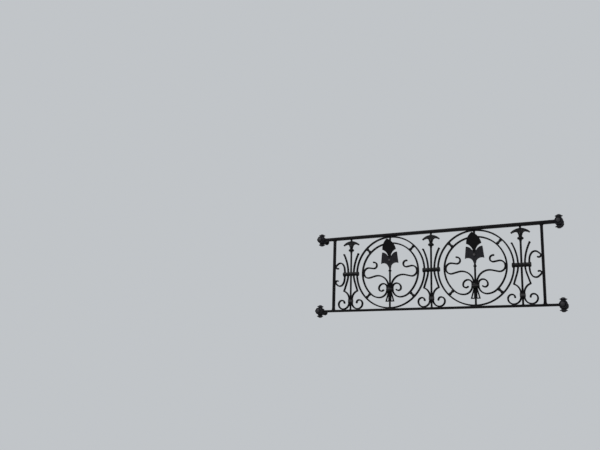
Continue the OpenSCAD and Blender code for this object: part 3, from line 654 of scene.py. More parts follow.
def painted_iron(name, base, roughness=0.42, peel=0.5, grit=0.0, gloss=1.0, second=None):
    """Old gloss paint on iron: uneven in tone, thin on the edges, dusty on top and brushed on thick, with
    painted highlights where a point's tone or wear calls for them.

    base names its colour, and second the colour that it takes where a point's tone is 1, which on collars
    and knots is a painted highlight.
    """
    paint = bpy.context.scene.railing_paint
    finish = Finish(bpy.data.materials.new(name))
    place = finish.place()
    patches = finish.noise(place, size=34 * MM, detail=4)
    runs = finish.noise(place, size=7 * MM, detail=3, stretch=0.6)
    chips = finish.noise(place, size=2.6 * MM, detail=5, stretch=0.4)
    normal = finish.node("ShaderNodeNewGeometry", {}, {}, "Normal")
    upward = finish.node("ShaderNodeSeparateXYZ", {}, {0: normal}, 2)
    wear = finish.attribute("wear")

    worn = finish.smooth(wear * (0.55 + 0.9 * chips) + 0.35 * patches, 0.92, 1.28) * paint.wear
    # Wear past 1.4 lays the worn colour in full. Only the flowers' bosses reach it, and there it is a
    # painted highlight.
    worn = worn + finish.smooth(wear, 1.4, 2.0) * (1 - paint.wear)
    settled = finish.smooth(upward, 0.35, 0.95) * finish.smooth(0.6 * patches + 0.4 * chips, 0.34, 0.62)
    dusty = settled * paint.dusting

    base = getattr(paint, base)
    tint = finish.blend(finish.smooth(patches, 0.32, 0.68), shade(base, 0.72), shade(base, 1.42))
    # Where the tone is 1 the second colour goes on: on collars and knots it is a painted highlight, and
    # on castings it is their paler paint.
    if second:
        second = getattr(paint, second)
        pale = finish.blend(finish.smooth(runs, 0.3, 0.7), shade(second, 0.8), shade(second, 1.25))
        tint = finish.blend(finish.attribute("tone"), tint, pale)
    tint = finish.blend(worn, tint, tuple(paint.worn))
    tint = finish.blend(dusty, tint, tuple(paint.dust))

    rough = roughness - 0.07 + 0.14 * patches + 0.12 * runs + 0.3 * dusty + 0.2 * worn
    height = peel * runs + 0.25 * chips - 0.6 * worn
    if grit:
        height = height + grit * finish.noise(place, size=1.3 * MM, detail=6)
    bump = finish.node("ShaderNodeBump", {}, {"Strength": 0.8, "Distance": 0.35 * MM, "Height": height})
    sockets = {"Base Color": tint, "Roughness": rough, "Normal": bump, "Metallic": 0.0}
    sockets["Specular IOR Level"] = gloss * paint.shine
    finish.connect(finish.tree.nodes["Principled BSDF"], sockets)
    return finish.owner


RECIPES = {
    "rail_paint": dict(base="rail", roughness=0.44, peel=0.6, gloss=0.55),
    "bar_paint": dict(base="bar", roughness=0.46, peel=0.5, gloss=0.5),
    # The collars' second colour is a painted highlight on their ledges and on the knots' middles.
    "collar_paint": dict(base="collar", roughness=0.38, peel=0.35, second="collar_worn"),
    "casting_paint": dict(base="casting", peel=0.5, grit=0.5, second="cup"),
}


def finish_for(slot):
    """A slot's paint, made once, under a name that the packed model's own materials don't have."""
    name = "old_" + slot
    return bpy.data.materials.get(name) or painted_iron(name, **RECIPES[slot])


# Sizes that several pieces share


def pass_through(bars):
    """Distances from the stem at which the inner and outer bars pass through a round collar."""
    inner = bars.stem / 2 + bars.fit + bars.width / 2
    return inner, inner + bars.width + bars.fit


def medallion_radii(bars, medallion):
    """Radii of the middle lines of the outer and the inner ring."""
    outer = CLEAR_HEIGHT / 2 - bars.width / 2
    return outer, outer - medallion.ring_gap


def flower_foot(castings):
    """Height of the foot of the flower heads."""
    return UNDER_TOP_RAIL - castings.bud_gap - castings.bud_tip_z


# The steps


class RailingOperator:
    """What every railing operator shares."""

    bl_options = {"REGISTER", "UNDO"}


def settings(context, *names):
    """The scene's groups of sizes and colours."""
    return [getattr(context.scene, "railing_" + name) for name in names]


class RAILING_OT_rails(RailingOperator, bpy.types.Operator):
    """Builds the two rails and the two posts with their welds"""

    bl_idname = "railing.rails"
    bl_label = "Rails and posts"

    def execute(self, context):
        bars = context.scene.railing_bars
        for node in ("top_rail", "bottom_rail"):
            low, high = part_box(node)
            section, wear = rounded_section(high.z - low.z, high.y - low.y, bars.rail_edge)
            z = (low.z + high.z) / 2 + section[:, 0]
            section = np.stack([0 * z, PANEL_Y + section[:, 1], z], 1)
            form = Form()
            where = np.linspace(low.x, high.x, round((high.x - low.x) / RAIL_STEP))
            form.skin([section + (x, 0, 0) for x in where], wear)
            make_piece(form, node, "bar", "rail_paint", mark=RAIL_MARK)
        for side in SIDES:
            node, form = side + "_post", Form()
            low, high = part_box(node)
            half_foot, half_depth = (high.x - low.x) / 2, (high.y - low.y) / 2
            reach = half_foot - bars.post_width / 2

            def flare(where, total):
                near = np.minimum(where, total - where) / (2.5 * reach)
                return 1 + 2 * reach / bars.post_width * np.clip(1 - near, 0, 1) ** 1.8

            path = np.stack([np.zeros(400), np.linspace(low.z, high.z, 400)], 1)
            stock = (bars.post_width, 2 * half_depth, bars.rail_edge)
            flat_bar(form, POST_X[side], path, bars, stock=stock, swell=flare)
            for z in (low.z, high.z):
                for face in (-1, 1):
                    y = PANEL_Y + face * half_depth
                    weld_line(form, (low.x, y, z), (high.x, y, z), bars)
                    x = POST_X[side] + face * (half_foot - WELD_SUNK)
                    weld_line(form, (x, PANEL_Y - half_depth, z), (x, PANEL_Y + half_depth, z), bars)
            make_piece(form, node, "bar", "rail_paint", mark=RAIL_MARK)
        return {"FINISHED"}


class RAILING_OT_rings(RailingOperator, bpy.types.Operator):
    """Builds the outer rings, the inner rings with their volutes, and the turned spacers between them"""

    bl_idname = "railing.rings"
    bl_label = "Medallion rings and spacers"

    def execute(self, context):
        bars, medallion = settings(context, "bars", "medallion")
        outer, inner = medallion_radii(bars, medallion)
        start = (0.0, MID_Z + inner, 0.0)
        circle = (inner, -QUARTER - medallion.leave)
        bend = (medallion.bend, medallion.leave - QUARTER)
        foot = walk(start, circle, bend)[-1]
        turn = foot[0] - pass_through(bars)[1]
        rise = COLLAR_Z + COLLAR_H / 2 - PAST_COLLAR - (foot[1] + turn)
        volute = ((medallion.shoulder, -QUARTER), (medallion.back, -QUARTER))
        eye = (medallion.eye, -medallion.eye_turn)
        half = walk(start, circle, bend, (turn, -QUARTER), (0, rise), *volute, eye)
        inner_path = np.concatenate([(half * (-1, 1))[::-1], half[1:]])
        outer_path = walk((0.0, MID_Z + outer, 0.0), (outer, -4 * QUARTER))

        near, far = inner + bars.width / 2 + bars.seat, outer - bars.width / 2 - bars.seat
        core, bead = medallion.spacer_core / 2, medallion.spacer_bead / 2
        spacer = rows_from(near, core, (0, 0.9, 0.2), (1.4, 0, 0))
        spacer += bead_profile(near + 1.5 * MM, near + 6.5 * MM, core + 1 * MM, bead)
        waist = np.linspace(near + 7.5 * MM, far - 7.5 * MM, 7)
        spacer += [(d, core - 0.5 * MM * sin(pi * k / 6), 0) for k, d in enumerate(waist)]
        spacer += bead_profile(far - 6.5 * MM, far - 1.5 * MM, core + 1 * MM, bead)
        spacer += rows_from(far, core, (-1.4, 0, 0), (0, 0.9, 0.2))
        for side in SIDES:
            x, form = MEDALLION_X[side], Form()
            flat_bar(form, x, outer_path, bars, loop=True)
            for z in (UNDER_TOP_RAIL, OVER_BOTTOM_RAIL):
                face_welds(form, (x - RING_WELD, z), (x + RING_WELD, z), bars, sunk=0.3 * MM)
            make_piece(form, side + "_outer_ring", "bar", "bar_paint")

            form = Form()
            flat_bar(form, x, inner_path, bars)
            make_piece(form, side + "_inner_ring", "bar", "bar_paint")

            form = Form()
            for corner in (45, 135, 225, 315):
                out = (cos(radians(corner)), 0, sin(radians(corner)))
                turned(form, (x, PANEL_Y, MID_Z), spacer, axis=out)
            make_piece(form, side + "_ring_spacers", "turned", "collar_paint", 0.05 * MM, LATHE_MARK)
        return {"FINISHED"}


class RAILING_OT_flower_stems(RailingOperator, bpy.types.Operator):
    """Builds the flower stems with their beads, and the tassels under the medallion collars"""

    bl_idname = "railing.flower_stems"
    bl_label = "Flower stems and tassels"

    def execute(self, context):
        bars, medallion = settings(context, "bars", "medallion")
        radius, leg = bars.stem / 2, medallion.tassel_leg
        coated = radius + STEM_COATS * bars.coat
        ring_top = MID_Z + medallion_radii(bars, medallion)[1]
        below, above = ring_top - bars.width / 2 - bars.seat, ring_top + bars.width / 2 + bars.seat
        bead_z = flower_foot(context.scene.railing_castings) - BEAD_DROP
        for side in SIDES:
            node, form = side + "_flower_stem", Form()
            low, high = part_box(node)
            origin = (MEDALLION_X[side], PANEL_Y, 0)
            bead_r, fillet_r = (high.x - low.x) / 2, radius + 1.6 * MM
            for ends in ((low.z, below), (above, high.z)):
                turned(form, origin, stem_profile(coated, *ends), around=24)
            beads = ((-4.6, -3, fillet_r, 5), (-4, 4, bead_r, 12), (3, 4.6, fillet_r, 5))
            for foot, top, crest, steps in beads:
                ends = (bead_z + foot * MM, bead_z + top * MM)
                turned(form, origin, bead_profile(*ends, radius, crest, steps))
            make_piece(form, node, "bar", "bar_paint", STEM_DENT)

            node, form = side + "_tassel", Form()
            low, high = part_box(node)
            near, far = radius + bars.fit, high.x - MEDALLION_X[side]
            corners = [(near, low.z), (far, low.z), (near + leg, high.z), (near, high.z)]
            hole = [(near + 0.6 * leg, low.z + leg), (far - 1.5 * leg, low.z + leg)]
            hole.append((near + 0.6 * leg, high.z - 3 * leg))
            for way in (1, -1):
                tassel_frame(form, MEDALLION_X[side], way, corners, hole, medallion.tassel_depth)
            make_piece(form, node, "forged", "bar_paint", FORGED_DENT, 9 * MM)
        return {"FINISHED"}


def tassel_frame(form, at_x, way, corners, hole, depth):
    """One open triangle: an outline and a hole, joined by faces with bevelled edges."""
    start, bevel = len(form.points), 0.9 * MM
    for shape, outwards in ((corners, 1), (hole, -1)):
        outline = dense_outline(shape, count=208, radius=1.2 * bevel)
        run = np.roll(outline, -1, axis=0) - np.roll(outline, 1, axis=0)
        run /= np.maximum(np.linalg.norm(run, axis=1), 1e-12)[:, None]
        normal = run[:, ::-1] * (outwards, -outwards)
        rings = []
        for inset, level in ((1, 1), (0.3, 0.98), (0, 0.72), (0, 0), (0, -0.72), (0.3, -0.98), (1, -1)):
            moved = outline - normal * inset * bevel
            y = np.full(len(moved), PANEL_Y + level * depth / 2)
            rings.append(np.stack([at_x + way * moved[:, 0], y, moved[:, 1]], 1))
        form.skin(rings, [[0.4], [1], [0.4], [0], [0.4], [1], [0.4]], ends=False)
    count = len(outline)
    for ring in (0, 6):
        for j in range(count):
            k = (j + 1) % count
            a, b = start + ring * count, start + (7 + ring) * count
            form.faces.append((a + j, a + k, b + k, b + j))


def dense_outline(corners, count, radius):
    """A closed outline through the corners given, its corners rounded, as evenly matched points."""
    corners = np.array(corners, float)
    points = []
    for k, corner in enumerate(corners):
        for other in (corners[k - 1], corners[(k + 1) % len(corners)]):
            way = other - corner
            size = np.linalg.norm(way)
            points.append(corner + way / size * min(radius, size / 3))
    points = np.array(points)
    run, offset = np.roll(points, -1, axis=0) - points, points - points.mean(0)
    turn = np.linspace(0, 2 * pi, count, endpoint=False)[:, None] - 3 * pi / 4
    across, along = np.cos(turn), np.sin(turn)
    cross = across * run[:, 1] - along * run[:, 0]
    cross[np.abs(cross) < 1e-12] = 1e-12
    reach = (offset[:, 0] * run[:, 1] - offset[:, 1] * run[:, 0]) / cross
    part = (offset[:, 0] * along - offset[:, 1] * across) / cross
    best = np.where(np.abs(part - 0.5) <= 0.5 + 1e-9, reach, 0).max(1)[:, None]
    return points.mean(0) + best * np.hstack([across, along])


class RAILING_OT_tendrils(RailingOperator, bpy.types.Operator):
    """Builds the tendrils that rise from the medallion collars"""

    bl_idname = "railing.tendrils"
    bl_label = "Tendrils"

    def execute(self, context):
        bars, medallion = settings(context, "bars", "medallion")
        inner, near = medallion_radii(bars, medallion)[1], pass_through(bars)[0]
        slope, loop = medallion.slope, medallion.loop
        loop_x = inner - bars.width - bars.seat - loop
        loop_z = MID_Z + medallion.loop_lift
        foot = COLLAR_Z - COLLAR_H / 2 + PAST_COLLAR
        bend = (medallion.rise, -QUARTER - slope)
        rise = walk((near, 0.0, QUARTER), bend)[-1]
        run = (loop_x - loop * sin(slope) - rise[0]) / cos(slope)
        start_z = loop_z - loop * cos(slope) + run * sin(slope) - rise[1]
        end = ((loop, LOOP_TURN + slope), (0, medallion.back_run), (medallion.curl, CURL_TURN))
        path = walk((near, foot, QUARTER), (0, start_z - foot), bend, (0, run), *end)
        for side in SIDES:
            x, form = MEDALLION_X[side], Form()
            for way in (1, -1):
                flat_bar(form, x, path * (way, 1), bars, upset=END_UPSET)
                touch = x + way * (inner - bars.width / 2)
                reach = ((touch, loop_z - TOUCH_WELD), (touch, loop_z + TOUCH_WELD))
                face_welds(form, *reach, bars, sunk=0.5 * MM, radius=1.2 * MM)
            make_piece(form, side + "_tendrils", "bar", "bar_paint")
        return {"FINISHED"}


def collar_profile(radius, height, drop, groove):
    """A barrel with rounded lips, two turned grooves and a ledge. Its rows end in a tone, which paints a
    highlight band at the ledge.
    """
    half = height / 2
    end = (radius - drop - 1.6 * MM, 0.3, 0)
    rows = [(-half, *end)]
    for t in np.linspace(-1, 1, 61):
        z = t * half
        lip = (1 - min(1.0, (half - abs(z)) / (1.4 * MM))) ** 2
        offs = [(t - level) * half for level in (-0.62, 0.62)]
        cut = sum(hump(off, 0.75 * MM) for off in offs)
        edge = sum(hump(abs(off) - 1.7 * MM, 0.8 * MM) for off in offs)
        ledge = exp(-max(0.0, z - 1.5 * MM) / (3.5 * MM))
        ledge = 1 / (1 + exp(-(z - 0.5 * MM) / (0.35 * MM))) * ledge
        r = radius - drop * t * t - 1.3 * MM * lip - groove * min(1, cut) - 2.2 * groove * ledge
        # The tone, last in each row, is a painted highlight round the collar at its ledge.
        rows.append((z, r, min(1.0, 0.6 * edge + 0.7 * lip), hump(z - 1 * MM, 1.6 * MM)))
    return np.array([*rows, (half, *end)])


def band(form, centre, size, groove):
    """A band bent round upright bars, with rounded lips, two grooves round it and a painted highlight
    round its middle.
    """
    half, lip = size[2] / 2, 1.6 * MM
    rows = [(-half, 1.3 * MM, 0.4)]
    rows += [(lip * (1 - cos(a)) - half, 1.3 * MM * (1 - sin(a)), 0.9) for a in (0.4, 0.8, 1.2, 1.57)]
    for t in np.linspace(lip / half - 1, 0, 24)[1:]:
        off = (t + 0.45) * half
        rows.append((t * half, groove * hump(off, 0.8 * MM), 0.5 * hump(abs(off) - 1.6 * MM, 0.8 * MM)))
    rows += [(-z, inset, wear) for z, inset, wear in reversed(rows[:-1])]
    rings, wears = [], []
    for z, inset, wear in rows:
        wide, deep = size[0] - 2 * inset, size[1] - 2 * inset
        section, exposed = rounded_section(wide, deep, corner=2.6 * MM, corner_steps=5, side_points=5)
        rings.append(np.array(centre) + np.c_[section, np.full(len(section), z)])
        wears.append(np.maximum(wear, 0.7 * exposed))
    # The tone paints a highlight round the band's middle.
    form.skin(rings, wears, [[0.8 * hump(row[0], 0.3 * half)] for row in rows])


class RAILING_OT_collars(RailingOperator, bpy.types.Operator):
    """Builds the round medallion collars, the ribbed lyre collars and the lyre knots"""

    bl_idname = "railing.collars"
    bl_label = "Collars and knots"

    def execute(self, context):
        lyre, collars = settings(context, "lyre", "collars")
        for side in SIDES:
            node, form = side + "_medallion_collar", Form()
            size = extent(node)
            profile = collar_profile(size[0] / 2, size[2], collars.drop, collars.groove)
            # The collar's tone column is its painted highlight band.
            turned(form, middle(node), profile[:, :3], around=48, tone=profile[:, 3:])
            make_piece(form, node, "turned", "collar_paint", *LATHE_WORK)
        half, core, crest = collars.rib_width / 2, collars.spool / 2, collars.rib / 2
        for place in LYRES:
            node, form = place + "_lyre_knot", Form()
            band(form, middle(node), extent(node), 0.8 * collars.groove)
            make_piece(form, node, "forged", "collar_paint", FORGED_DENT, LATHE_MARK)

            node, form = place + "_lyre_collar", Form()
            low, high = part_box(node)
            stem = LYRE_X[place]
            ribs = [low.x - stem + half, -lyre.bar_x, 0.0, lyre.bar_x, high.x - stem - half]
            rows = rows_from(ribs[0] - half, core, (0, -3, 0.2), (0, -1, 0.4))
            for rib, following in zip(ribs, ribs[1:] + ribs[-1:]):
                rows += bead_profile(rib - half, rib + half, core - 0.4 * MM, crest, 12)
                gap = following - rib - 2 * half
                if gap > 1 * MM:
                    steps = np.linspace(0.15, 0.85, 6)
                    rows += [(rib + half + gap * t, core - 0.9 * MM * sin(pi * t), 0) for t in steps]
            rows += rows_from(ribs[-1] + half, core, (0, -1, 0.4), (0, -3, 0.2))
            turned(form, (stem, PANEL_Y, MID_Z), rows, around=40, axis=(1, 0, 0))
            make_piece(form, node, "turned", "collar_paint", *LATHE_WORK)
        return {"FINISHED"}


class RAILING_OT_lyres(RailingOperator, bpy.types.Operator):
    """Builds the lyre stems and the side bars with their base scrolls"""

    bl_idname = "railing.lyres"
    bl_label = "Lyres"

    def execute(self, context):
        bars, lyre = settings(context, "bars", "lyre")
        near, lower_turn = pass_through(bars)[0], lyre.lower_turn
        flare = walk((lyre.bar_x, MID_Z, -QUARTER), (lyre.lower, lower_turn))[-1]
        kink_z = lyre.kink_z + middle("bottom_rail")[2]
        flare_run = (flare[1] - kink_z) / cos(lower_turn)
        kink_x = flare[0] + flare_run * sin(lower_turn)
        bends = ((lyre.lower, -lower_turn), (lyre.upper, -asin(lyre.upper_h / lyre.upper)))
        upper = walk((kink_x, kink_z, QUARTER + lower_turn), (0, flare_run), *bends)
        kink_r = (kink_x - near) / (1 - sin(lyre.kink_dip))
        knot_in = kink_z - kink_r * cos(lyre.kink_dip)
        heel_z = OVER_BOTTOM_RAIL + bars.width / 2 + lyre.heel
        base = walk(
            (kink_x, kink_z, pi + lyre.kink_dip),
            (kink_r, QUARTER - lyre.kink_dip),
            (0, knot_in - heel_z),
            (lyre.heel, QUARTER),
            (lyre.back, QUARTER),
            (lyre.crest, QUARTER),
            (lyre.eye, LYRE_EYE_TURN),
        )
        caps = ((upper[0], bars.width / 2 + 0.4 * MM), (upper[-1], lyre.tip / 2))
        for place in LYRES:
            x, form = LYRE_X[place], Form()
            for way in (1, -1):
                flat_bar(form, x, upper * (way, 1), bars)
                flat_bar(form, x, base * (way, 1), bars, upset=END_UPSET)
                for at, radius in caps:
                    profile = cap_profile(bars.depth / 2 + 0.2 * MM, radius)
                    turned(form, (x + way * at[0], PANEL_Y, at[1]), profile, around=28, axis=(0, 1, 0))
                heel_x, z = x + way * (near + lyre.heel), OVER_BOTTOM_RAIL
                face_welds(form, (heel_x - HEEL_WELD, z), (heel_x + HEEL_WELD, z), bars)
            make_piece(form, place + "_lyre_bars", "bar", "bar_paint")

            node, form = place + "_lyre_stem", Form()
            low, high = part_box(node)
            profile = stem_profile(bars.stem / 2 + STEM_COATS * bars.coat, low.z, high.z)
            turned(form, (x, PANEL_Y, 0), profile, around=24)
            make_piece(form, node, "bar", "bar_paint", STEM_DENT)
        return {"FINISHED"}


class RAILING_OT_side_scrolls(RailingOperator, bpy.types.Operator):
    """Builds the scrolls between the end lyres and the posts"""

    bl_idname = "railing.side_scrolls"
    bl_label = "Side scrolls"

    def execute(self, context):
        bars, lyre = settings(context, "bars", "lyre")
        dip, hook = lyre.hook_dip, lyre.hook
        back = (lyre.scroll_back, -lyre.scroll_turn)
        lean = (lyre.lean, -lyre.lean_turn)
        shoulder = (lyre.shoulder, lyre.scroll_turn + lyre.lean_turn - QUARTER - dip)
        start = (lyre.scroll_back_x, MID_Z, QUARTER)
        reached = walk(start, back, lean, shoulder)[-1]
        contact_x = POST_X["right"] - LYRE_X["right"] - bars.post_width / 2 - bars.seat - bars.width / 2
        run = (contact_x - hook * (1 - sin(dip)) - reached[0]) / cos(dip)
        contact_z = reached[1] - run * sin(dip) - hook * cos(dip)
        half = walk(start, back, lean, shoulder, (0, run), (hook, dip - HOOK_TURN))
        upended = (0, 2 * MID_Z) + half * (1, -1)
        whole = np.concatenate([upended[::-1], half[1:]])
        for side, way in zip(SIDES, (-1, 1)):
            form = Form()
            flat_bar(form, LYRE_X[side], whole * (way, 1), bars, upset=END_UPSET)
            touch = POST_X[side] - way * bars.post_width / 2
            for z in (contact_z, 2 * MID_Z - contact_z):
                face_welds(form, (touch, z - TOUCH_WELD), (touch, z + TOUCH_WELD), bars, radius=1.3 * MM)
            make_piece(form, side + "_side_scroll", "bar", "bar_paint")
        return {"FINISHED"}


def cosine_steps(low, high, count):
    """Places from low to high, closer together at both ends."""
    return low + (high - low) * (1 - np.cos(np.linspace(0, pi, count))) / 2


def add_cup(form, castings):
    """The flower's cup: a fluted bell with scalloped foot and two lobes."""
    foot_w, top_w, lobe_r = castings.cup_foot_w, castings.cup_top_w, castings.cup_lobe
    foot_z, top_z = castings.cup_foot_z, castings.cup_top_z
    scallop_r, scallop_x, half_flutes = 0.625 * foot_w, 0.72 * foot_w, 3.5
    scallop_z = foot_z - sqrt(scallop_r**2 - (foot_w - scallop_x) ** 2) - 0.9 * MM

    def low(x):
        side = np.abs(x)
        slope = np.clip((side - 6 * MM) / (foot_w - 6 * MM), 0, 1) * foot_z
        inside = np.clip(scallop_r**2 - (side - scallop_x) ** 2, 0, None)
        return np.maximum(slope, np.where(inside > 0, scallop_z + np.sqrt(inside), 0))

    def high(x):
        side = np.abs(x)
        lobe = top_z - lobe_r + np.sqrt(np.clip(lobe_r**2 - (side - top_w) ** 2, 0, None))
        bridge = top_z - 0.58 * lobe_r
        edge = top_z - (side - top_w) / (foot_w - top_w) * (top_z - foot_z)
        return np.maximum(np.minimum(np.minimum(np.maximum(lobe, bridge), top_z), edge), low(x))

    def surface(x, z, rim):
        width = foot_w + (top_w - foot_w) * np.clip((z - foot_z) / (top_z - foot_z), -0.3, 1)
        part = np.clip(np.abs(x) / width, 0, 1)
        body = castings.cup_t - (castings.cup_t - castings.rim_t) * part**1.3
        flutes = np.abs(np.sin(part * pi * half_flutes)) ** 0.8
        calm = np.clip((rim - 2 * MM) / (3 * MM), 0, 1)
        lip = 0.35 * MM * hump(rim - 1.6 * MM, 1.1 * MM)
        return body - castings.flute * (1 - flutes) * calm + lip, 0.6 * MM * calm * part

    columns = cosine_steps(-foot_w, foot_w, 97)
    plate(form, columns, low, high, surface, rim_radius=1.4 * MM, rows=44, tone=1.0)


def add_bud(form, castings):
    """The flower's bud: a pointed body that bends forward, with a middle ridge and shallow scales."""
    side_w, side_z, tip_z = castings.bud_side_w, castings.bud_side_z, castings.bud_tip_z
    waist_z, reach = side_z - castings.waist_drop, side_w - castings.waist_w
    waist_r = (reach**2 + castings.waist_drop**2) / (2 * reach)
    half = hypot(side_w, tip_z - side_z) / 2
    bulge_r = (half**2 + castings.bud_bulge**2) / (2 * castings.bud_bulge)
    back = (bulge_r - castings.bud_bulge) / (2 * half)
    centre_x = side_w / 2 - (tip_z - side_z) * back
    centre_z = (side_z + tip_z) / 2 - side_w * back
    rise = tip_z - waist_z
    back_r = (rise**2 + castings.bend**2) / (2 * castings.bend)
    slope = castings.bend / rise
    keel_h, scale_pitch = 0.7 * MM, 7.5 * MM

    def high(z):
        bulge = centre_x + np.sqrt(np.clip(bulge_r**2 - (z - centre_z) ** 2, 0, None))
        waist = castings.waist_w + waist_r - np.sqrt(np.clip(waist_r**2 - (z - waist_z) ** 2, 0, None))
        return np.clip(np.minimum(bulge, np.where(z < side_z, waist, 1)), 0, None)

    def low(z):
        return -high(z)

    def surface(x, z, rim):
        up = np.clip(z - waist_z, 0, None)
        behind = back_r - np.sqrt(back_r**2 - up**2)
        roof = castings.bud_t - castings.ridge * np.abs(x) / side_w
        front = up * slope + roof * hypot(1, slope)
        keel = keel_h * hump(x, 1.6 * MM)
        rows = [np.abs(np.sin(pi * (z + lean * np.abs(x)) / scale_pitch)) for lean in (1.5, -1.5)]
        scales = castings.hatch * (1 - (rows[0] * rows[1]) ** 0.5)
        calm = np.clip((rim - 1.5 * MM) / (3 * MM), 0, 1)
        return front + (keel - keel_h - scales) * calm, behind

    parts = (cosine_steps(waist_z - 12 * MM, side_z, 40), cosine_steps(side_z, tip_z, 60))
    heights = np.unique(np.concatenate(parts))
    plate(form, heights, low, high, surface, rim_radius=1.8 * MM, rows=56, upright=True)


class RAILING_OT_flowers(RailingOperator, bpy.types.Operator):
    """Builds the cast flower heads: fluted cup, scaled bud, boss and socket"""

    bl_idname = "railing.flowers"
    bl_label = "Flower heads"

    def execute(self, context):
        bars, castings = settings(context, "bars", "castings")
        stem = bars.stem / 2
        foot = flower_foot(castings)
        boss = rows_from(0, 0, (0, 7, 0.1), (1.5, 7, 0.3), (2.2, 6.2, 0.8))
        # The dome's wear of 2 lays the full worn colour on it: a painted highlight.
        for a in np.linspace(0, 1.45, 7):
            boss.append((2.4 * MM + 2.1 * MM * sin(a), 5.4 * MM * cos(a), 2))
        boss_sunk, boss_drop = 1 * MM, 42 * MM
        boss_place = (0, boss_sunk - castings.cup_t, castings.cup_top_z - boss_drop)
        socket = bead_profile(0, 8 * MM, stem + 1 * MM, 7.5 * MM, 12)
        socket += rows_from(0, stem, (8.5, 2.2, 0.2), (22, 2.5, 0.1), (24, 1.4, 0.6))
        for side in SIDES:
            form, place = Form(), (MEDALLION_X[side], PANEL_Y, foot)
            add_cup(form, castings)
            turned(form, boss_place, boss, around=28, axis=(0, -1, 0), tone=1.0)
            add_bud(form, castings)
            move_points(form, 0, Matrix.Translation(place) @ Matrix.Rotation(castings.lean, 4, "X"))
            turned(form, place, socket, tone=0.6)
            make_piece(form, side + "_flower_head", "cast", "casting_paint", *CAST_WORK)
        return {"FINISHED"}


class RAILING_OT_crowns(RailingOperator, bpy.types.Operator):
    """Builds the cast crowns on the lyre stems, with veined leaves and a bead"""

    bl_idname = "railing.crowns"
    bl_label = "Lyre crowns"

    def execute(self, context):
        bars, castings = settings(context, "bars", "castings")
        stem = bars.stem / 2
        top = UNDER_TOP_RAIL - castings.crown_gap
        tip, centre = top - castings.leaf_drop, top - castings.crown_top
        hollow_z = tip - castings.hollow_drop
        neck, leaf_d, vein_turns = castings.crown_neck, castings.leaf_t, 6.5
        reach = sqrt(castings.crown_top**2 - (tip - centre) ** 2)

        def high(x):
            return centre + np.sqrt(np.clip(castings.crown_top**2 - x**2, 0, None))

        def low(x):
            side = np.abs(x)
            inside = np.clip(castings.hollow**2 - (side - castings.hollow_x) ** 2, 0, None)
            arch = hollow_z + np.sqrt(inside)
            leaf = np.where(side < castings.hollow_x, arch, np.maximum(arch, tip))
            return np.minimum(np.where(side < neck, hollow_z, leaf), high(x))

        def surface(x, z, rim):
            out = np.hypot(x, z - hollow_z)
            turn = np.arctan2(np.abs(x), z - hollow_z)
            veins = np.abs(np.cos(turn * vein_turns)) ** 0.7
            calm = np.clip((rim - 1.5 * MM) / (3 * MM), 0, 1) * np.clip(out / (14 * MM) - 0.6, 0, 1)
            thin = 0.28 * leaf_d * np.clip((np.abs(x) - neck) / (reach - neck), 0, 1) ** 1.5
            half = leaf_d / 2 - thin * 0.5 - castings.flute * (1 - veins) * calm
            return half, -half

        parts = ((-reach, -neck, 40), (-neck, neck, 16), (neck, reach, 40))
        columns = np.unique(np.concatenate([cosine_steps(*part) for part in parts]))
        bead_z, half = top - castings.crown_bead_drop, 0.4 * castings.crown_foot
        foot, bead_low, bead_high = bead_z - castings.crown_foot, bead_z - half, bead_z + half
        body = rows_from(foot, stem, (0, 0.6, 0.2), (0.6, 1.4, 0.6))
        for t in np.linspace(0, 1, 8)[1:]:
            radius = stem + 1.4 * MM + (neck - stem - 1.9 * MM) * t**1.6
            body.append((foot + (bead_low - foot) * t, radius, 0.1))
        body += bead_profile(bead_low, bead_high, neck + 0.3 * MM, castings.crown_bead / 2, 14)
        fillet = (bead_high + 0.4 * MM, bead_high + 2.6 * MM)
        body += bead_profile(*fillet, neck - 0.4 * MM, neck + 1 * MM, 6)
        body += rows_from(bead_high, neck, (3.2, 0, 0))
        body += rows_from(hollow_z, neck, (-3, 0.8, 0), (0, 2.4, 0), (4, 0.8, 0))
        body += rows_from(tip, neck, (1, -2, 0))
        cap = rows_from(top, 0, (-3, 8, 0.1), (0.5, 6.8, 0.4))
        cap += rows_from(top, stem, (2.5, 1, 0.1), (5, 0.5, 0.1), (5.6, -0.5, 0.3))
        roll = castings.leaf_tip / 2
        roll_x = sqrt((castings.crown_top - roll) ** 2 - (tip - centre) ** 2)
        for place in LYRES:
            x, form = LYRE_X[place], Form()
            plate(form, columns, low, high, surface, rim_radius=1.6 * MM, rows=36)
            move_points(form, 0, Matrix.Translation((x, PANEL_Y, 0)))
            turned(form, (x, PANEL_Y, 0), body, around=48)
            for way in (1, -1):
                profile = cap_profile(0.8 * leaf_d / 2, roll, edge=0.9 * MM)
                turned(form, (x + way * roll_x, PANEL_Y, tip), profile, around=20, axis=(0, 1, 0))
            turned(form, (x, PANEL_Y, 0), cap)
            make_piece(form, place + "_lyre_crown", "cast", "casting_paint", *CAST_WORK)
        return {"FINISHED"}


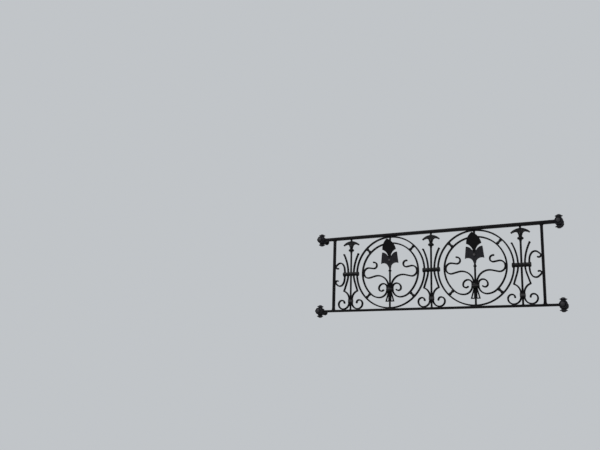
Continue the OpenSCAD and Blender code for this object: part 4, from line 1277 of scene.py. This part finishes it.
def add_crown(form, place, levels, radii, petals):
    """A ring of pointed leaves with a rib along each, round a bud, built up the Z axis of a matrix."""
    around = petals * 16
    turn = np.linspace(0, 2 * pi, around, endpoint=False)
    phase = np.abs((turn * petals / (2 * pi) + 0.5) % 1 * 2 - 1)
    (root, tip, reach), (neck, wide, bud) = levels, radii
    leaf_r = wide - 0.25 * (wide - bud) * phase**1.7
    leaf_z = tip - 0.25 * (tip - root) * phase**1.7
    steps = np.linspace(0, 1, 8)
    rings, wear = [], []
    for t in steps:
        rib = 0.5 * MM * (1 - phase) * t
        leaf = neck + (leaf_r - neck) * (0.35 * t + 0.65 * t * t)
        rings.append((leaf + rib, root + (leaf_z - root) * t**0.85))
        wear.append(0.6 + 0.6 * t * t)
    bud_z = tip - 0.25 * (tip - root)
    rings += [(leaf_r + 0.3 * MM, leaf_z + 1.3 * MM), (leaf_r - 0.7 * MM, leaf_z + 2.5 * MM)]
    wear += [1.2, 0.8]
    inner, lip = leaf_r - 1.8 * MM, leaf_z + 2.7 * MM
    for t in steps[1:]:
        rings.append((inner + (bud - inner) * t, lip + (bud_z - lip) * t))
        wear.append(0.6 * (1 - t))
    seam = 1 - 0.07 * (1 - phase)
    for a in np.linspace(0, 1.45, 11)[1:]:
        rings.append((bud * cos(a) ** 0.8 * seam, np.full(around, bud_z + (reach - bud_z) * sin(a))))
        wear.append(0.7 + 0.3 * a)
    start = len(form.points)
    grid = [np.stack([r * np.cos(turn), r * np.sin(turn), z], 1) for r, z in rings]
    form.skin(grid, np.array(wear)[:, None], 1.0)
    move_points(form, start, place)


class RAILING_OT_finials(RailingOperator, bpy.types.Operator):
    """Builds the corner finials: a ribbed ball with crowns above, below, in front and behind"""

    bl_idname = "railing.finials"
    bl_label = "Corner finials"

    def execute(self, context):
        castings = context.scene.railing_castings
        radius, neck, half = castings.ball / 2, castings.finial_neck, castings.ball_h / 2
        sagitta = radius - neck
        side_r = (half**2 + sagitta**2) / (2 * sagitta)
        rows = [(-half, neck - 3 * MM, 0, 0)]
        for t in np.linspace(-1, 1, 41):
            bulge = radius - side_r + sqrt(side_r**2 - (t * half) ** 2)
            belt = hump(t * half, 1.7 * MM)
            sunk = 0.9 * MM * (1 - belt) * (1 - t * t)
            rows.append((t * half, bulge - sunk, 0.75 + 0.3 * belt, (1 - belt) * (1 - t**4)))
        rows.append((half, neck - 3 * MM, 0, 0))
        front, back = (castings.calyx, castings.calyx_r), (castings.back_rosette, castings.back_rosette_r)
        for corner in CORNERS:
            x, _, z = middle(corner + "_bracket")
            centre, form = Vector((x, PANEL_Y, z)), Form()
            ribs = castings.ribs
            turned(form, centre, rows, around=8 * ribs, flutes=ribs, flute_depth=1.1 * MM, tone=1.0)
            for degrees, sizes in ((0, front), (180, front), (90, front), (-90, back)):
                place = Matrix.Translation(centre) @ Matrix.Rotation(radians(degrees), 4, "X")
                add_crown(form, place, *sizes, castings.petals)
            make_piece(form, corner + "_finial", "cast", "casting_paint", FORGED_DENT, 9 * MM)
        return {"FINISHED"}


class RAILING_OT_brackets(RailingOperator, bpy.types.Operator):
    """Builds the arms and round plates that hold the railing on the wall"""

    bl_idname = "railing.brackets"
    bl_label = "Wall brackets"

    def execute(self, context):
        for corner in CORNERS:
            node, form = corner + "_bracket", Form()
            low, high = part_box(node)
            x, _, z = middle(node)
            plate_r, out = (high.x - low.x) / 2, high.y - low.y
            arm, plate_t = plate_r / 2, 5 * MM
            rows = rows_from(0, plate_r, (0.1, -0.6, 0.3), (0.6, 0, 0.5))
            rows += rows_from(plate_t, plate_r, (-1.6, 0, 0.8), (-0.7, -0.6, 0.9), (0, -1.8, 0.5))
            rows += rows_from(plate_t, arm, (-0.2, 3.6, 0), (1.2, 3, 0.3))
            for t in (0.4, 0.55, 0.75, 1):
                rows.append((plate_t + 6 * MM * t, arm + 3 * MM * (1 - t) ** 2, 0.1))
            rows += [(y, arm, 0) for y in np.linspace(plate_t + 8 * MM, out - 1 * MM, 9)]
            rows += rows_from(out, arm, (0, -0.8, 0.3))
            turned(form, (x, high.y, z), rows, around=40, axis=(0, -1, 0))
            make_piece(form, node, "forged", "rail_paint", mark=PLATE_MARK)
        return {"FINISHED"}


class RAILING_OT_stage(RailingOperator, bpy.types.Operator):
    """Lays the plain floor and sets the lights and the camera"""

    bl_idname = "railing.stage"
    bl_label = "Stage"

    def execute(self, context):
        studio = context.scene.railing_studio
        mesh = bpy.data.meshes.new("floor")
        around = [radians(5 * k) for k in range(72)]
        rim = [(PANEL_X + FLOOR_REACH * cos(a), FLOOR_REACH * sin(a), studio.floor_z) for a in around]
        mesh.from_pydata(rim, [], [range(72)])
        finish = Finish(bpy.data.materials.new("floor"))
        cloudy = finish.noise(finish.place(), size=0.6)
        tint = finish.blend(cloudy, tuple(studio.floor), shade(studio.floor, 0.96))
        finish.connect(finish.tree.nodes["Principled BSDF"], {"Base Color": tint, "Roughness": 0.85})
        mesh.materials.append(finish.owner)
        floor = add_object("floor", mesh)

        sky = Finish(bpy.data.worlds.new("surroundings"))
        sky_colour, background = (*studio.sky, 1), sky.tree.nodes["Background"]
        sky.connect(background, {"Color": sky_colour, "Strength": studio.sky_strength})
        glow = Value(sky, background.outputs[0])
        seen = sky.node("ShaderNodeBackground", {}, {"Color": sky_colour, "Strength": studio.backdrop})
        camera_ray = sky.node("ShaderNodeLightPath", {}, {}, "Is Camera Ray")
        picked = sky.node("ShaderNodeMixShader", {}, {0: camera_ray, 1: glow, 2: seen})
        sky.connect(sky.tree.nodes["World Output"], {"Surface": picked})
        context.scene.world = sky.owner

        context.scene.view_settings.view_transform = "Standard"
        target = Vector((PANEL_X, PANEL_Y, MID_Z))
        for name, place, power, size in (
            ("key_light", (-1.2, -2.6, 3.2), studio.key, 2.6),
            ("fill_light", (3.6, -3.0, 0.8), 0.25 * studio.key, 2.2),
        ):
            lamp = bpy.data.lights.new(name, "AREA")
            lamp.shape, lamp.size, lamp.energy = "DISK", size, power
            light = add_object(name, lamp)
            light.location = place
            light.rotation_euler = (target - light.location).to_track_quat("-Z", "Y").to_euler()

        lens = bpy.data.cameras.new("camera")
        lens.lens, lens.sensor_width = studio.lens, 36
        camera = add_object("camera", lens)
        yaw, pitch = studio.yaw, studio.pitch
        ahead = Vector((sin(yaw) * cos(pitch), cos(yaw) * cos(pitch), sin(pitch)))
        right = Vector((cos(yaw), -sin(yaw), 0))
        turn = Matrix((right, right.cross(ahead), -ahead)).transposed().to_4x4()
        place = Matrix.Translation(studio.camera)
        camera.matrix_world = place @ turn @ Matrix.Rotation(studio.roll, 4, "Z")
        context.scene.camera = camera
        return {"FINISHED"}


STEPS = (
    RAILING_OT_stage,
    RAILING_OT_rails,
    RAILING_OT_brackets,
    RAILING_OT_rings,
    RAILING_OT_flower_stems,
    RAILING_OT_tendrils,
    RAILING_OT_collars,
    RAILING_OT_lyres,
    RAILING_OT_crowns,
    RAILING_OT_side_scrolls,
    RAILING_OT_flowers,
    RAILING_OT_finials,
)
SETTINGS = {
    "railing_bars": BarSizes,
    "railing_medallion": MedallionSizes,
    "railing_lyre": LyreSizes,
    "railing_collars": CollarSizes,
    "railing_castings": CastingSizes,
    "railing_paint": PaintColours,
    "railing_studio": StudioSettings,
}


class RAILING_PT_panel(bpy.types.Panel):
    """Lists the steps and the settings of the railing"""

    bl_idname = "RAILING_PT_panel"
    bl_label = "Iron balcony railing"
    bl_space_type = "VIEW_3D"
    bl_region_type = "UI"
    bl_category = "Railing"

    def draw(self, context):
        for step in STEPS:
            self.layout.operator(step.bl_idname)
        for name, group in SETTINGS.items():
            box = self.layout.box()
            box.label(text=group.__doc__)
            for setting in group.__annotations__:
                box.prop(getattr(context.scene, name), setting)


def register():
    """Registers the settings, the steps and the panel."""
    for name, group in SETTINGS.items():
        bpy.utils.register_class(group)
        setattr(bpy.types.Scene, name, PointerProperty(type=group))
    for step in STEPS:
        bpy.utils.register_class(step)
    bpy.utils.register_class(RAILING_PT_panel)


def unregister():
    """Takes back what register added."""
    bpy.utils.unregister_class(RAILING_PT_panel)
    for step in reversed(STEPS):
        bpy.utils.unregister_class(step)
    for name, group in SETTINGS.items():
        delattr(bpy.types.Scene, name)
        bpy.utils.unregister_class(group)


def main():
    """Registers the steps and builds every piece and the stage."""
    register()
    for step in STEPS:
        group, name = step.bl_idname.split(".")
        getattr(getattr(bpy.ops, group), name)()


if __name__ == "__main__":
    main()
